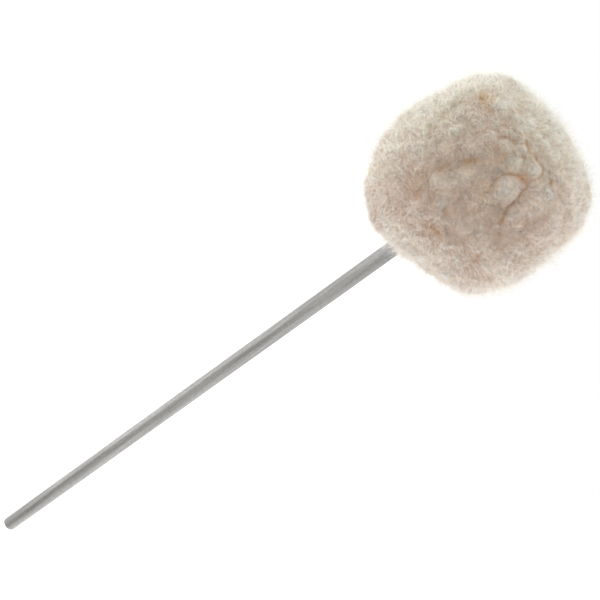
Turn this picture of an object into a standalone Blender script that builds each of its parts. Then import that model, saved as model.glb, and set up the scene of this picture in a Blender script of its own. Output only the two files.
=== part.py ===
"""Bass drum beater: a steel rod that carries a felted wooden core in a sheepskin cover.

The rod stands upright with the head at its top. The origin is the middle of the stretch of rod that a
pedal's hub clamps, on the rod's axis, and +Z runs up the rod. Everything in the head is measured from
the middle of the core.
"""
from math import acos, cos, degrees, exp, pi, radians, sin, sqrt, tan, tau

import bmesh
import bpy
from mathutils import Vector
from mathutils.geometry import interpolate_bezier

# Driving dimensions of the rod, in metres
ROD_DIAMETER = 0.00635
TAIL_LENGTH = 0.045
REACH = 0.1839
TAIL_ROUNDING = 0.0007
THREAD_DEPTH = 0.00022
THREAD_BELOW_NUT = 0.0015
THREAD_ABOVE_NUT = 0.001
THREAD_CHAMFER = 0.0007
SHOULDER_TAPER = 0.0005
ROD_BELOW_CROWN = 0.0004

# Clearance between pieces that touch
FIT = 0.0003

# Driving dimensions of the nuts and washers
NUT_ACROSS_FLATS = 0.0111
NUT_HEIGHT = 0.0056
NUT_CHAMFER_ANGLE = 30.0
LOWER_WASHER_DIAMETER = 0.0254
UPPER_WASHER_DIAMETER = 0.0159
WASHER_THICKNESS = 0.0016
WASHER_EDGE = 0.0002
LOCK_WASHER_DIAMETER = 0.0124
LOCK_WASHER_THICKNESS = 0.0015
LOCK_WASHER_SPLIT = 0.0008
LOCK_WASHER_SPLIT_ANGLE = 25.0

# Driving dimensions of the core and its felt
CORE_DIAMETER = 0.0397
CORE_LENGTH = 0.0379
CORE_EDGE_RADIUS = 0.0042
COUNTERBORE_CLEARANCE = 0.0012
COUNTERBORE_CHAMFER = 0.0006
FELT_WALL = 0.0045
FELT_HOLE_CLEARANCE = 0.001

# Driving dimensions of the sheepskin cover
HIDE_WALL = 0.0012
PLEATS = 8
PLEAT_DEPTH = 0.0004
NECK_BEND = 0.0005
SEAM_ANGLE = 35.0
THREAD_WIDTH = 0.0008
STITCHES = 24
STITCH_REACH = 0.0018

# Driving dimensions of the tie round the neck
TIE_DIAMETER = 0.001
TIE_TURNS = 3
TIE_SPACING = 0.0005

# Driving dimensions of the wool, whose outline is R * sqrt(1 - h ** fullness) for h from 0 to 1
PILE_SIDE = 0.013
PILE_CROWN = 0.015
WOOL_UNDER_NECK = 0.0024
FULLNESS_BELOW = 2.44
FULLNESS_ABOVE = 3.51
TUFT_SIZE = 0.013
TUFT_DEPTH = 0.0013
TUFT_LEVEL = 0.3
FLANK_REACH = 0.8

# Where the wool swells or sinks: azimuth and elevation in degrees from the core's middle, reach and height
SWELLS = [
    (-155, -59, 0.013, 0.0030),
    (-66, -44, 0.018, -0.0036),
    (-178, 22, 0.0065, -0.0012),
    (179, 53, 0.008, 0.0014),
    (-173, -13, 0.009, 0.0010),
    (-1, 50, 0.006, 0.0010),
    (-4, 23, 0.008, -0.0012),
]

# How finely the round pieces are stepped
STEPS_SMALL = 32
STEPS_CORE = 36
STEPS_COVER = 48
POINTS_PER_TURN = 24
FLANK_STEPS = 12
BASE_STEPS = 7
CROWN_STEPS = 9
MERGE = 0.00001
HARD_EDGE = 32.0

# Radii worked out from the driving dimensions
rod_r = ROD_DIAMETER / 2
thread_r = rod_r - THREAD_DEPTH
bore_r = rod_r + FIT
nut_bore_r = thread_r + FIT
nut_corner_r = NUT_ACROSS_FLATS / 2 / cos(pi / 6)
core_r = CORE_DIAMETER / 2
counterbore_r = UPPER_WASHER_DIAMETER / 2 + COUNTERBORE_CLEARANCE
neck_r = rod_r + FIT + PLEAT_DEPTH
tie_r = neck_r + HIDE_WALL + PLEAT_DEPTH + FIT + TIE_DIAMETER / 2
tie_outer_r = tie_r + TIE_DIAMETER / 2
bend_r = NECK_BEND + HIDE_WALL

# Distances of each layer from the centre of the core's rounded edges
felt_in = CORE_EDGE_RADIUS + FIT
felt_out = felt_in + FELT_WALL
hide_in = felt_out + FIT
hide_out = hide_in + HIDE_WALL
wool_in = hide_out + FIT
thread_centre = hide_out + FIT + THREAD_WIDTH / 2
channel = thread_centre + THREAD_WIDTH / 2 + FIT

# Heights above the clamp line, from the foot of the wool up to the end of the rod
neck_foot = REACH + WOOL_UNDER_NECK
tie_pitch = TIE_DIAMETER + TIE_SPACING
tie_foot = neck_foot + FIT
tie_top = tie_foot + TIE_TURNS * tie_pitch + TIE_DIAMETER
cover_floor = tie_top + FIT + PLEAT_DEPTH + HIDE_WALL
lower_nut_foot = cover_floor + PLEAT_DEPTH + FIT
lower_washer_foot = lower_nut_foot + NUT_HEIGHT + FIT
core_foot = lower_washer_foot + WASHER_THICKNESS + FIT
core_middle = core_foot + CORE_LENGTH / 2
core_top = core_foot + CORE_LENGTH
rod_end = core_top - ROD_BELOW_CROWN
upper_nut_foot = rod_end - THREAD_ABOVE_NUT - NUT_HEIGHT
lock_washer_foot = upper_nut_foot - FIT - LOCK_WASHER_THICKNESS
upper_washer_foot = lock_washer_foot - FIT - WASHER_THICKNESS
counterbore_floor = upper_washer_foot - FIT
shoulder = lower_nut_foot - THREAD_BELOW_NUT

# The wool's outline, measured from the middle of the core
wool_r = core_r - CORE_EDGE_RADIUS + hide_out + PILE_SIDE
edge_r = core_r - CORE_EDGE_RADIUS
edge_z = CORE_LENGTH / 2 - CORE_EDGE_RADIUS
wool_top = edge_z + hide_out + PILE_CROWN
wool_foot = REACH - core_middle
TOP_EDGE = (edge_r, edge_z)
BASE_EDGE = (edge_r, -edge_z)


# Curves in the plane of radius and height


def polar(centre, offset, angle):
    """The point at this offset from the centre of a rounded edge, by an angle up from level."""
    return (centre[0] + offset * cos(radians(angle)), centre[1] + offset * sin(radians(angle)))


def arc(centre, offset, start, end, steps):
    """Points along an arc, from one angle to the other."""
    return [polar(centre, offset, start + (end - start) * i / steps) for i in range(steps + 1)]


def base_angle(offset, hole):
    """Where an arc round the base's edge ends: straight down, or sooner where the hole is wider than that."""
    return -degrees(acos(min(1.0, max(0.0, (hole - edge_r) / offset))))


def sweep(start, start_handle, end_handle, end, steps):
    """Points along a Bezier curve."""
    knots = [Vector((r, 0, z)) for r, z in (start, start_handle, end_handle, end)]
    return [(p.x, p.z) for p in interpolate_bezier(*knots, steps + 1)]


def outside(points, depth_at):
    """A line moved square to itself, towards the outside, by a depth that may vary with the radius."""
    moved = []
    for i, (r, z) in enumerate(points):
        before, after = points[max(i - 1, 0)], points[min(i + 1, len(points) - 1)]
        run = Vector(after) - Vector(before)
        normal = Vector((-run.y, run.x)).normalized() * depth_at(r)
        moved.append((r + normal.x, z + normal.y))
    return moved


def wool_radius(z):
    """Radius of the wool's outline at a height above the middle of the core."""
    half, fullness = (wool_top, FULLNESS_ABOVE) if z > 0 else (wool_foot, FULLNESS_BELOW)
    return wool_r * sqrt(max(0.0, 1 - (z / half) ** fullness))


def wool_height(r, half, fullness):
    """Height of the wool's outline at a radius, on the crown's side or the base's."""
    return half * (1 - (r / wool_r) ** 2) ** (1 / fullness)


def parting_offset():
    """How far from the crown edge's centre the seam's line meets the wool's outline."""
    low, high = hide_out, hide_out + wool_r
    for _ in range(40):
        middle = (low + high) / 2
        r, z = polar(TOP_EDGE, middle, SEAM_ANGLE)
        low, high = (middle, high) if z < wool_top and r < wool_radius(z) else (low, middle)
    return low


def least_gap(points, thickness, skip):
    """Least gap between turns of a tube, on its points, leaving out each point's own neighbours."""
    count = len(points)
    gaps = [
        (points[i] - points[j]).length
        for i in range(count)
        for j in range(i + skip, count)
        if count - (j - i) >= skip
    ]
    return min(gaps) - thickness


# Objects, materials and modifiers


def clear_scene():
    for thing in list(bpy.data.objects):
        bpy.data.objects.remove(thing, do_unlink=True)


def collection(name):
    made = bpy.data.collections.new(name)
    bpy.context.scene.collection.children.link(made)
    return made


def material(name, colour, roughness, metallic=0.0):
    made = bpy.data.materials.new(name)
    made.use_nodes = True
    shader = made.node_tree.nodes["Principled BSDF"]
    shader.inputs["Base Color"].default_value = (*colour, 1.0)
    shader.inputs["Roughness"].default_value = roughness
    shader.inputs["Metallic"].default_value = metallic
    made.diffuse_color = (*colour, 1.0)
    return made


def empty(name, height):
    made = bpy.data.objects.new(name, None)
    made.location.z = height
    parts.objects.link(made)
    return made


def add(name, data, finish, parent, height=0.0):
    """Puts a piece in the collection, at a height above its parent."""
    made = bpy.data.objects.new(name, data)
    data.materials.append(finish)
    made.parent = parent
    made.location.z = height
    parts.objects.link(made)
    return made


def settle(piece):
    """Applies a piece's modifiers and shades it smooth up to its hard edges."""
    bpy.context.view_layer.update()
    mesh = bpy.data.meshes.new_from_object(piece.evaluated_get(bpy.context.evaluated_depsgraph_get()))
    mesh.name = piece.name
    piece.modifiers.clear()
    piece.data = mesh
    mesh.shade_smooth()
    mesh.set_sharp_from_angle(angle=radians(HARD_EDGE))
    return piece


def profile_mesh(name, points, closed):
    """A line of edges at +X, in the plane of radius and height, without repeated points."""
    body = bmesh.new()
    kept = [b for a, b in zip(points[-1:] + points, points) if (Vector(b) - Vector(a)).length > MERGE]
    verts = [body.verts.new((r, 0, z)) for r, z in kept]
    for a, b in zip(verts, verts[1:] + verts[:1] if closed else verts[1:]):
        body.edges.new((a, b))
    mesh = bpy.data.meshes.new(name)
    body.to_mesh(mesh)
    body.free()
    return mesh


def turn(piece, steps):
    """Turns a profile about Z with a Screw modifier."""
    screw = piece.modifiers.new("turn", "SCREW")
    screw.angle = tau
    screw.steps = steps
    screw.render_steps = steps
    screw.use_merge_vertices = True
    screw.merge_threshold = MERGE
    return piece


def turned(name, points, steps, finish, parent, height=0.0, closed=True):
    """A piece turned from a profile that runs down its outer side and, if closed, back up its bore."""
    piece = add(name, profile_mesh(name, points, closed), finish, parent, height)
    return settle(turn(piece, steps))


def cutter(name, mesh, parent, height):
    """A hidden guide for a Boolean."""
    made = bpy.data.objects.new(name, mesh)
    made.parent = parent
    made.location.z = height
    made.hide_render = True
    made.display_type = "WIRE"
    cutters.objects.link(made)
    return made


def boolean(piece, tool, operation):
    cut = piece.modifiers.new(operation.lower(), "BOOLEAN")
    cut.object = tool
    cut.operation = operation
    cut.solver = "EXACT"


def tube(name, points, diameter, finish, parent, cyclic=False):
    """A round cord along points, with filled caps unless it closes on itself."""
    curve = bpy.data.curves.new(name, "CURVE")
    curve.dimensions = "3D"
    curve.bevel_depth = diameter / 2
    curve.bevel_resolution = 1
    curve.use_fill_caps = not cyclic
    spline = curve.splines.new("POLY")
    spline.points.add(len(points) - 1)
    for knot, point in zip(spline.points, points):
        knot.co = (*point, 1.0)
    spline.use_cyclic_u = cyclic
    return add(name, curve, finish, parent)


# The rod


def build_shaft():
    """The rod, rounded at its tail, with the thread cut down from the shoulder under the lower nut."""
    tail = -TAIL_LENGTH
    corner = (rod_r - TAIL_ROUNDING, tail + TAIL_ROUNDING)
    points = [
        (0, rod_end),
        (thread_r - THREAD_CHAMFER, rod_end),
        (thread_r, rod_end - THREAD_CHAMFER),
        (thread_r, shoulder),
        (rod_r, shoulder - SHOULDER_TAPER),
        *arc(corner, TAIL_ROUNDING, 0, -90, 4),
        (0, tail),
    ]
    turned("shaft", points, STEPS_SMALL, STEEL, rod, closed=False)


# The nuts and washers


def nut_blank(name):
    """The turned blank that takes the corners off a hexagon at both faces."""
    rise = (nut_corner_r - NUT_ACROSS_FLATS / 2) * tan(radians(NUT_CHAMFER_ANGLE))
    points = [
        (0, NUT_HEIGHT),
        (NUT_ACROSS_FLATS / 2, NUT_HEIGHT),
        (nut_corner_r, NUT_HEIGHT - rise),
        (nut_corner_r, rise),
        (NUT_ACROSS_FLATS / 2, 0),
        (0, 0),
    ]
    blank = bpy.data.objects.new(name, profile_mesh(name, points, False))
    parts.objects.link(blank)
    mesh = settle(turn(blank, STEPS_CORE)).data
    bpy.data.objects.remove(blank)
    return mesh


def cylinder_mesh(name, radius, low, high, segments):
    body = bmesh.new()
    bmesh.ops.create_cone(
        body, cap_ends=True, segments=segments, radius1=radius, radius2=radius, depth=high - low
    )
    bmesh.ops.translate(body, verts=body.verts, vec=(0, 0, (low + high) / 2))
    mesh = bpy.data.meshes.new(name)
    body.to_mesh(mesh)
    body.free()
    return mesh


def build_nut(name, height):
    """A hexagon nut: a six-sided bar, its corners turned off, bored for the thread."""
    nut = add(name, cylinder_mesh(name, nut_corner_r, 0, NUT_HEIGHT, 6), ZINC, rod, height)
    boolean(nut, cutter(name + "_blank", nut_blank(name + "_blank"), rod, height), "INTERSECT")
    bore = cylinder_mesh(name + "_bore", nut_bore_r, -NUT_HEIGHT, 2 * NUT_HEIGHT, STEPS_SMALL)
    boolean(nut, cutter(name + "_bore", bore, rod, height), "DIFFERENCE")
    settle(nut)


def washer_points(diameter, bore, thickness):
    """A stamped washer's section, with its two outer edges eased."""
    outer = diameter / 2
    return [
        (bore, thickness),
        (outer - WASHER_EDGE, thickness),
        (outer, thickness - WASHER_EDGE),
        (outer, WASHER_EDGE),
        (outer - WASHER_EDGE, 0),
        (bore, 0),
    ]


def build_washers():
    lower = washer_points(LOWER_WASHER_DIAMETER, bore_r, WASHER_THICKNESS)
    turned("lower_washer", lower, STEPS_CORE, ZINC, rod, lower_washer_foot)
    upper = washer_points(UPPER_WASHER_DIAMETER, bore_r, WASHER_THICKNESS)
    turned("upper_washer", upper, STEPS_CORE, ZINC, rod, upper_washer_foot)


def build_lock_washer():
    """The spring washer, flat as it is when tight, with its slanting split."""
    ring = washer_points(LOCK_WASHER_DIAMETER, bore_r, LOCK_WASHER_THICKNESS)
    washer = turned("lock_washer", ring, STEPS_SMALL, ZINC, rod, lock_washer_foot)
    body = bmesh.new()
    bmesh.ops.create_cube(body)
    split_size = (LOCK_WASHER_DIAMETER, LOCK_WASHER_SPLIT, 4 * LOCK_WASHER_THICKNESS)
    bmesh.ops.scale(body, verts=body.verts, vec=split_size)
    bmesh.ops.translate(body, verts=body.verts, vec=(LOCK_WASHER_DIAMETER / 2 + bore_r / 2, 0, 0))
    mesh = bpy.data.meshes.new("lock_washer_split")
    body.to_mesh(mesh)
    body.free()
    split = cutter("lock_washer_split", mesh, rod, lock_washer_foot + LOCK_WASHER_THICKNESS / 2)
    split.rotation_euler.x = radians(LOCK_WASHER_SPLIT_ANGLE)
    boolean(washer, split, "DIFFERENCE")
    settle(washer)


# The core and its felt


def build_core():
    """The turned core, with its bore and the counterbore that sinks the upper nut."""
    floor = counterbore_floor - core_middle
    crown = CORE_LENGTH / 2
    points = [
        (counterbore_r + COUNTERBORE_CHAMFER, crown),
        *arc(TOP_EDGE, CORE_EDGE_RADIUS, 90, 0, 4),
        *arc(BASE_EDGE, CORE_EDGE_RADIUS, 0, -90, 4),
        (bore_r, -crown),
        (bore_r, floor),
        (counterbore_r, floor),
        (counterbore_r, crown - COUNTERBORE_CHAMFER),
    ]
    turned("core", points, STEPS_CORE, WOOD, head)


def build_felt():
    """The felt: a sleeve tucked under the base, and a cap over the crown that meets it at the side."""
    split = edge_z - FIT / 2
    hole = LOWER_WASHER_DIAMETER / 2 + FELT_HOLE_CLEARANCE
    outer_end, inner_end = base_angle(felt_out, hole), base_angle(felt_in, hole)
    sleeve = [
        (edge_r + felt_out, split),
        *arc(BASE_EDGE, felt_out, 0, outer_end, 5),
        (hole, polar(BASE_EDGE, felt_out, outer_end)[1]),
        (hole, polar(BASE_EDGE, felt_in, inner_end)[1]),
        *arc(BASE_EDGE, felt_in, inner_end, 0, 4),
        (edge_r + felt_in, split),
    ]
    turned("felt_sleeve", sleeve, STEPS_CORE, FELT, head)
    cap = [
        (0, edge_z + felt_out),
        *arc(TOP_EDGE, felt_out, 90, 0, 5),
        (edge_r + felt_out, split + FIT),
        (edge_r + felt_in, split + FIT),
        *arc(TOP_EDGE, felt_in, 0, 90, 4),
        (0, edge_z + felt_in),
    ]
    turned("felt_cap", cap, STEPS_CORE, FELT, head, closed=False)


# The sheepskin cover


def gather_curve():
    """The cover's inner line under the base, from the base's edge in to the floor under the nut."""
    floor_z = cover_floor - core_middle
    base_z = -edge_z - hide_in
    floor_r = nut_corner_r + FIT + NECK_BEND
    middle_r = (edge_r + floor_r) / 2
    return sweep((edge_r, base_z), (middle_r, base_z), (middle_r, floor_z), (floor_r, floor_z), 5)


def cover_lining():
    """The side cover's inner line, from the seam down the side, in under the base and down the neck."""
    floor_z = cover_floor - core_middle
    half_gap = FIT / 2 / hide_in * 180 / pi
    bend = (neck_r + bend_r, floor_z - bend_r)
    return [
        *arc(TOP_EDGE, hide_in, SEAM_ANGLE - half_gap, 0, 3),
        *arc(BASE_EDGE, hide_in, 0, -90, 5),
        *gather_curve()[1:],
        *arc(bend, bend_r, 90, 180, 3),
        (neck_r, (neck_foot + tie_top) / 2 - core_middle),
        (neck_r, neck_foot - core_middle),
    ]


def pleat_depth(r):
    """How deep the gathers are at a radius: full at the neck, gone where the base turns up."""
    reach = (edge_r - r) / (edge_r - nut_corner_r)
    return PLEAT_DEPTH * min(1.0, max(0.0, reach))


def pleat(mesh):
    """Gathers the cover's foot into pleats, along its own normals."""
    normals = [v.normal.copy() for v in mesh.vertices]
    for vert, normal in zip(mesh.vertices, normals):
        if vert.co.z < -edge_z:
            r = vert.co.xy.length
            angle = Vector((1, 0)).angle_signed(vert.co.xy)
            vert.co += normal * pleat_depth(r) * cos(PLEATS * angle)


def thicken(piece, wall):
    """Gives an open surface its wall, outwards."""
    shell = piece.modifiers.new("wall", "SOLIDIFY")
    shell.thickness = wall
    shell.offset = 1.0
    shell.use_even_offset = True
    return settle(piece)


def build_cover():
    """The leather of the cover: a band gathered at its foot, and a round piece sewn in at its top."""
    side = turned("cover_side", cover_lining(), STEPS_COVER, HIDE, head, closed=False)
    pleat(side.data)
    thicken(side, HIDE_WALL)
    half_gap = FIT / 2 / hide_in * 180 / pi
    line = [(0, edge_z + hide_in), *arc(TOP_EDGE, hide_in, 90, SEAM_ANGLE + half_gap, 5)]
    thicken(turned("cover_crown", line, STEPS_COVER, HIDE, head, closed=False), HIDE_WALL)


def seam_points():
    """Needle holes to and fro across the seam, with a point between them where the thread bridges it."""
    swing = STITCH_REACH / thread_centre * 180 / pi
    points = []
    for i in range(4 * STITCHES):
        side = (0, 1, 0, -1)[i % 4]
        r, z = polar(TOP_EDGE, thread_centre, SEAM_ANGLE + side * swing)
        angle = tau * i / (4 * STITCHES)
        points.append(Vector((r * cos(angle), r * sin(angle), z)))
    return points


def tie_points():
    """The tie's helix round the gathered neck."""
    start = tie_foot + TIE_DIAMETER / 2
    points = []
    for i in range(round(TIE_TURNS * POINTS_PER_TURN) + 1):
        turns = i / POINTS_PER_TURN
        angle = tau * turns
        points.append(Vector((tie_r * cos(angle), tie_r * sin(angle), start + tie_pitch * turns)))
    return points


def build_threads():
    """The seam's thread and the tie, each one unbroken piece."""
    seam = seam_points()
    tube("seam_thread", seam, THREAD_WIDTH, CORD, head, cyclic=True)
    tie = tie_points()
    tube("neck_tie", tie, TIE_DIAMETER, CORD, rod)
    print("seam_thread least gap, mm:", round(1000 * least_gap(seam, THREAD_WIDTH, 3), 3))
    print("neck_tie least gap, mm:", round(1000 * least_gap(tie, TIE_DIAMETER, POINTS_PER_TURN // 2), 3))


# The wool


def swelling(point):
    """How far the wool stands out of its outline at a point, measured from the middle of the core."""
    total = 0.0
    for azimuth, elevation, reach, height in SWELLS:
        level = cos(radians(elevation))
        aim = Vector((level * cos(radians(azimuth)), level * sin(radians(azimuth)), sin(radians(elevation))))
        away = (point - aim * point.length).length
        total += height * exp(-((away / reach) ** 2))
    return total


def swell(piece):
    """Moves the outside of a fleece away from the middle of the core, or towards it."""
    outside_group = piece.vertex_groups["outside"].index
    for vert in piece.data.vertices:
        if any(entry.group == outside_group for entry in vert.groups):
            vert.co += vert.co.normalized() * swelling(vert.co)


def fleece(name, outer, inner, domed):
    """A turned body of wool, its outside raised in tufts that fade to nothing at its open edges."""
    piece = add(name, profile_mesh(name, outer + inner, not domed), WOOL, head)
    tufted = piece.vertex_groups.new(name="tufted")
    for i in range(len(outer)):
        to_edge = len(outer) - 1 - i if domed else min(i, len(outer) - 1 - i)
        tufted.add([i], min(1.0, to_edge / 2), "REPLACE")
    piece.vertex_groups.new(name="outside").add(list(range(len(outer))), 1.0, "REPLACE")
    turn(piece, STEPS_COVER)
    texture = bpy.data.textures.new(name, "VORONOI")
    texture.noise_scale = TUFT_SIZE
    lumps = piece.modifiers.new("tufts", "DISPLACE")
    lumps.texture = texture
    lumps.texture_coords = "LOCAL"
    lumps.strength = -TUFT_DEPTH
    lumps.mid_level = TUFT_LEVEL
    lumps.vertex_group = "tufted"
    settle(piece)
    swell(piece)


def build_wool():
    """The pile, parted at the seam: a deep shell round the side and base, and a dome over the crown."""
    parting = parting_offset()
    half_gap = FIT / 2 / channel * 180 / pi
    groove = (STITCH_REACH + THREAD_WIDTH / 2 + FIT) / channel * 180 / pi
    rim_r, rim_z = polar(TOP_EDGE, parting, SEAM_ANGLE)
    hole_r = rod_r + FIT
    foot_z = neck_foot - FIT - core_middle
    tie_z = cover_floor - HIDE_WALL - PLEAT_DEPTH - FIT - core_middle
    tie_hole_r = tie_outer_r + FIT

    # Down the outside, by height on the flank and by radius on the base, where the outline lies flatter
    shift = FIT / 2
    rim_low = (rim_r + shift * sin(radians(SEAM_ANGLE)), rim_z - shift * cos(radians(SEAM_ANGLE)))
    flank = [rim_low]
    turn_r = FLANK_REACH * wool_r
    turn_z = wool_height(turn_r, wool_foot, FULLNESS_BELOW)
    for i in range(1, FLANK_STEPS + 1):
        z = rim_low[1] + (turn_z - rim_low[1]) * i / FLANK_STEPS
        flank.append((wool_radius(z), z))
    for i in range(1, BASE_STEPS + 1):
        r = turn_r + (hole_r - turn_r) * i / BASE_STEPS
        flank.append((r, wool_height(r, wool_foot, FULLNESS_BELOW)))
    # Back up the inside: round the neck and its tie, under the base, up the side to the seam
    under = outside(gather_curve(), lambda r: HIDE_WALL + FIT + pleat_depth(r))
    inner = [
        (hole_r, foot_z),
        (tie_hole_r, foot_z),
        (tie_hole_r, tie_z),
        *reversed(under[1:]),
        *arc(BASE_EDGE, wool_in, -90, 0, 5),
        *arc(TOP_EDGE, wool_in, 0, SEAM_ANGLE - groove, 2),
        polar(TOP_EDGE, channel, SEAM_ANGLE - groove),
        polar(TOP_EDGE, channel, SEAM_ANGLE - half_gap),
    ]
    fleece("wool_side", flank, inner, False)

    rim_high = (rim_r - shift * sin(radians(SEAM_ANGLE)), rim_z + shift * cos(radians(SEAM_ANGLE)))
    dome = []
    for i in range(CROWN_STEPS + 1):
        r = rim_high[0] * i / CROWN_STEPS
        dome.append((r, wool_height(r, wool_top, FULLNESS_ABOVE)))
    dome[-1] = rim_high
    vault = [
        polar(TOP_EDGE, channel, SEAM_ANGLE + half_gap),
        polar(TOP_EDGE, channel, SEAM_ANGLE + groove),
        *arc(TOP_EDGE, wool_in, SEAM_ANGLE + groove, 90, 3),
        (0, edge_z + wool_in),
    ]
    fleece("wool_crown", dome, vault, True)


clear_scene()
parts = collection("bass_drum_beater")
cutters = collection("cutters")
STEEL = material("brushed_rod_steel", (0.42, 0.42, 0.43), 0.28, 1.0)
ZINC = material("plated_fastener_steel", (0.6, 0.6, 0.58), 0.35, 1.0)
WOOD = material("core_wood", (0.55, 0.38, 0.22), 0.6)
FELT = material("wool_felt", (0.6, 0.58, 0.53), 0.95)
HIDE = material("sheepskin_leather", (0.62, 0.5, 0.36), 0.8)
CORD = material("waxed_thread", (0.7, 0.64, 0.52), 0.7)
WOOL = material("lambswool", (0.72, 0.66, 0.56), 1.0)
rod = empty("rod_axis", 0.0)
head = empty("head_middle", core_middle)
build_shaft()
build_nut("lower_nut", lower_nut_foot)
build_nut("upper_nut", upper_nut_foot)
build_washers()
build_lock_washer()
build_core()
build_felt()
build_cover()
build_threads()
build_wool()
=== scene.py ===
# %% [markdown]
# # A lambswool bass drum beater
#
# This lesson dresses a beater that is already built: a steel rod, and a wooden core in felt and
# sheepskin. The frame gives every hard piece at its real size, upright, with the rod's axis on Z and the
# head on top. Our work is the finish. Most of it is the wool: a lumpy fleece, parted here and there, with
# a mat of short curly fibres on it, and a halo of loose ones that makes the outline soft.

# %% Load the frame
from functools import partialmethod
from math import cos, degrees, pi, radians, sin, tau

import bmesh
import bpy
import numpy as np
from mathutils import Matrix, Vector, noise
from mathutils.bvhtree import BVHTree
from mathutils.geometry import interpolate_bezier


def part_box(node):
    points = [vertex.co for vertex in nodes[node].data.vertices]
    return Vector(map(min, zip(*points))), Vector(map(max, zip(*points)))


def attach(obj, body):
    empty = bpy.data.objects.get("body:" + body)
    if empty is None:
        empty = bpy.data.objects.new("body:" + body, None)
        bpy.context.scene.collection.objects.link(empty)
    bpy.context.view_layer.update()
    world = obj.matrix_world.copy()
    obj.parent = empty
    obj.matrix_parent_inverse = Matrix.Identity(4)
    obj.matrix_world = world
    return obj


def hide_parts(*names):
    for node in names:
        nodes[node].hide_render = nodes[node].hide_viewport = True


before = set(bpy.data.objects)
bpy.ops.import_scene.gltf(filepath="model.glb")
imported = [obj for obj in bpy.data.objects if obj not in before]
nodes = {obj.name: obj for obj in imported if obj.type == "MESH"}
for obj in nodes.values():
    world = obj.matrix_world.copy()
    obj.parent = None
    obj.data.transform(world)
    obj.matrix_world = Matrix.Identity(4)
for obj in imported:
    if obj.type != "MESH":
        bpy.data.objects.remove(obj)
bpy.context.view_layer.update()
scene = bpy.context.scene
MM = 0.001


def placed(name, data):
    """A new object with that data, in the scene."""
    made = bpy.data.objects.new(name, data)
    scene.collection.objects.link(made)
    return made


print("nodes:", ", ".join(sorted(nodes)))

# %% [markdown]
# ## The camera
#
# A straight rod of known diameter is all that a camera needs. Where the rod's two ends lie in the picture
# and how wide it looks there give the distance of each end, so they give the camera's place and its turn
# about the rod. The pixels are those of the 600 by 600 picture, counted from its top left corner.

# %% Camera from the rod
PICTURE = 600
LENS = 60.0
SENSOR = 36.0
TAIL_PIXEL = (8.9, 524.2)
ROD_TOP_PIXEL = (387.4, 252.4)
TAIL_WIDTH_PIXELS = 13.5
ROD_TOP_WIDTH_PIXELS = 16.1

focal = LENS / SENSOR * PICTURE
rod_low, rod_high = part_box("shaft")
rod_r = (rod_high.x - rod_low.x) / 2


def seen_at(pixel, distance):
    """The point, in the camera's own axes, that shows at a pixel and lies at a distance in front."""
    x = (pixel[0] - PICTURE / 2) * distance / focal
    y = (PICTURE / 2 - pixel[1]) * distance / focal
    return Vector((x, y, -distance))


tail = seen_at(TAIL_PIXEL, focal * 2 * rod_r / TAIL_WIDTH_PIXELS)
rod_top = seen_at(ROD_TOP_PIXEL, focal * 2 * rod_r / ROD_TOP_WIDTH_PIXELS)
rod_axis = (rod_top - tail).normalized()
towards = Vector((0, 0, 1))
back = -(towards - rod_axis * rod_axis.dot(towards)).normalized()
side = back.cross(rod_axis)
turn = Matrix((side, back, rod_axis))

data = bpy.data.cameras.new("camera")
data.lens = LENS
data.sensor_width = SENSOR
camera = placed("camera", data)
camera.matrix_world = turn.to_4x4()
camera.location = turn @ -tail + Vector((0, 0, rod_low.z))
scene.camera = camera
bpy.context.view_layer.update()
to_camera = turn @ Vector((0, 0, 1))
print("camera at, mm:", [round(c / MM, 1) for c in camera.location])

# %% [markdown]
# ## Shader maths in Python
#
# A node tree is a formula drawn with boxes. This small class lets us write the formula instead: a Value
# holds one output socket, and each operator adds the Math node that it stands for. Geometry Nodes use the
# same Math node, so one class serves both kinds of tree.

# %% Values and trees


class Value:
    """One output socket that can be used in arithmetic."""

    def __init__(self, tree, socket):
        self.tree = tree
        self.socket = socket

    def math(self, operation, *others):
        return self.tree.add("ShaderNodeMath", {"operation": operation}, self, *others)

    def __rsub__(self, other):
        return self.tree.add("ShaderNodeMath", {"operation": "SUBTRACT"}, other, self)

    __add__ = __radd__ = partialmethod(math, "ADD")
    __sub__ = partialmethod(math, "SUBTRACT")
    __mul__ = __rmul__ = partialmethod(math, "MULTIPLY")
    __truediv__ = partialmethod(math, "DIVIDE")
    __pow__ = partialmethod(math, "POWER")


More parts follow.
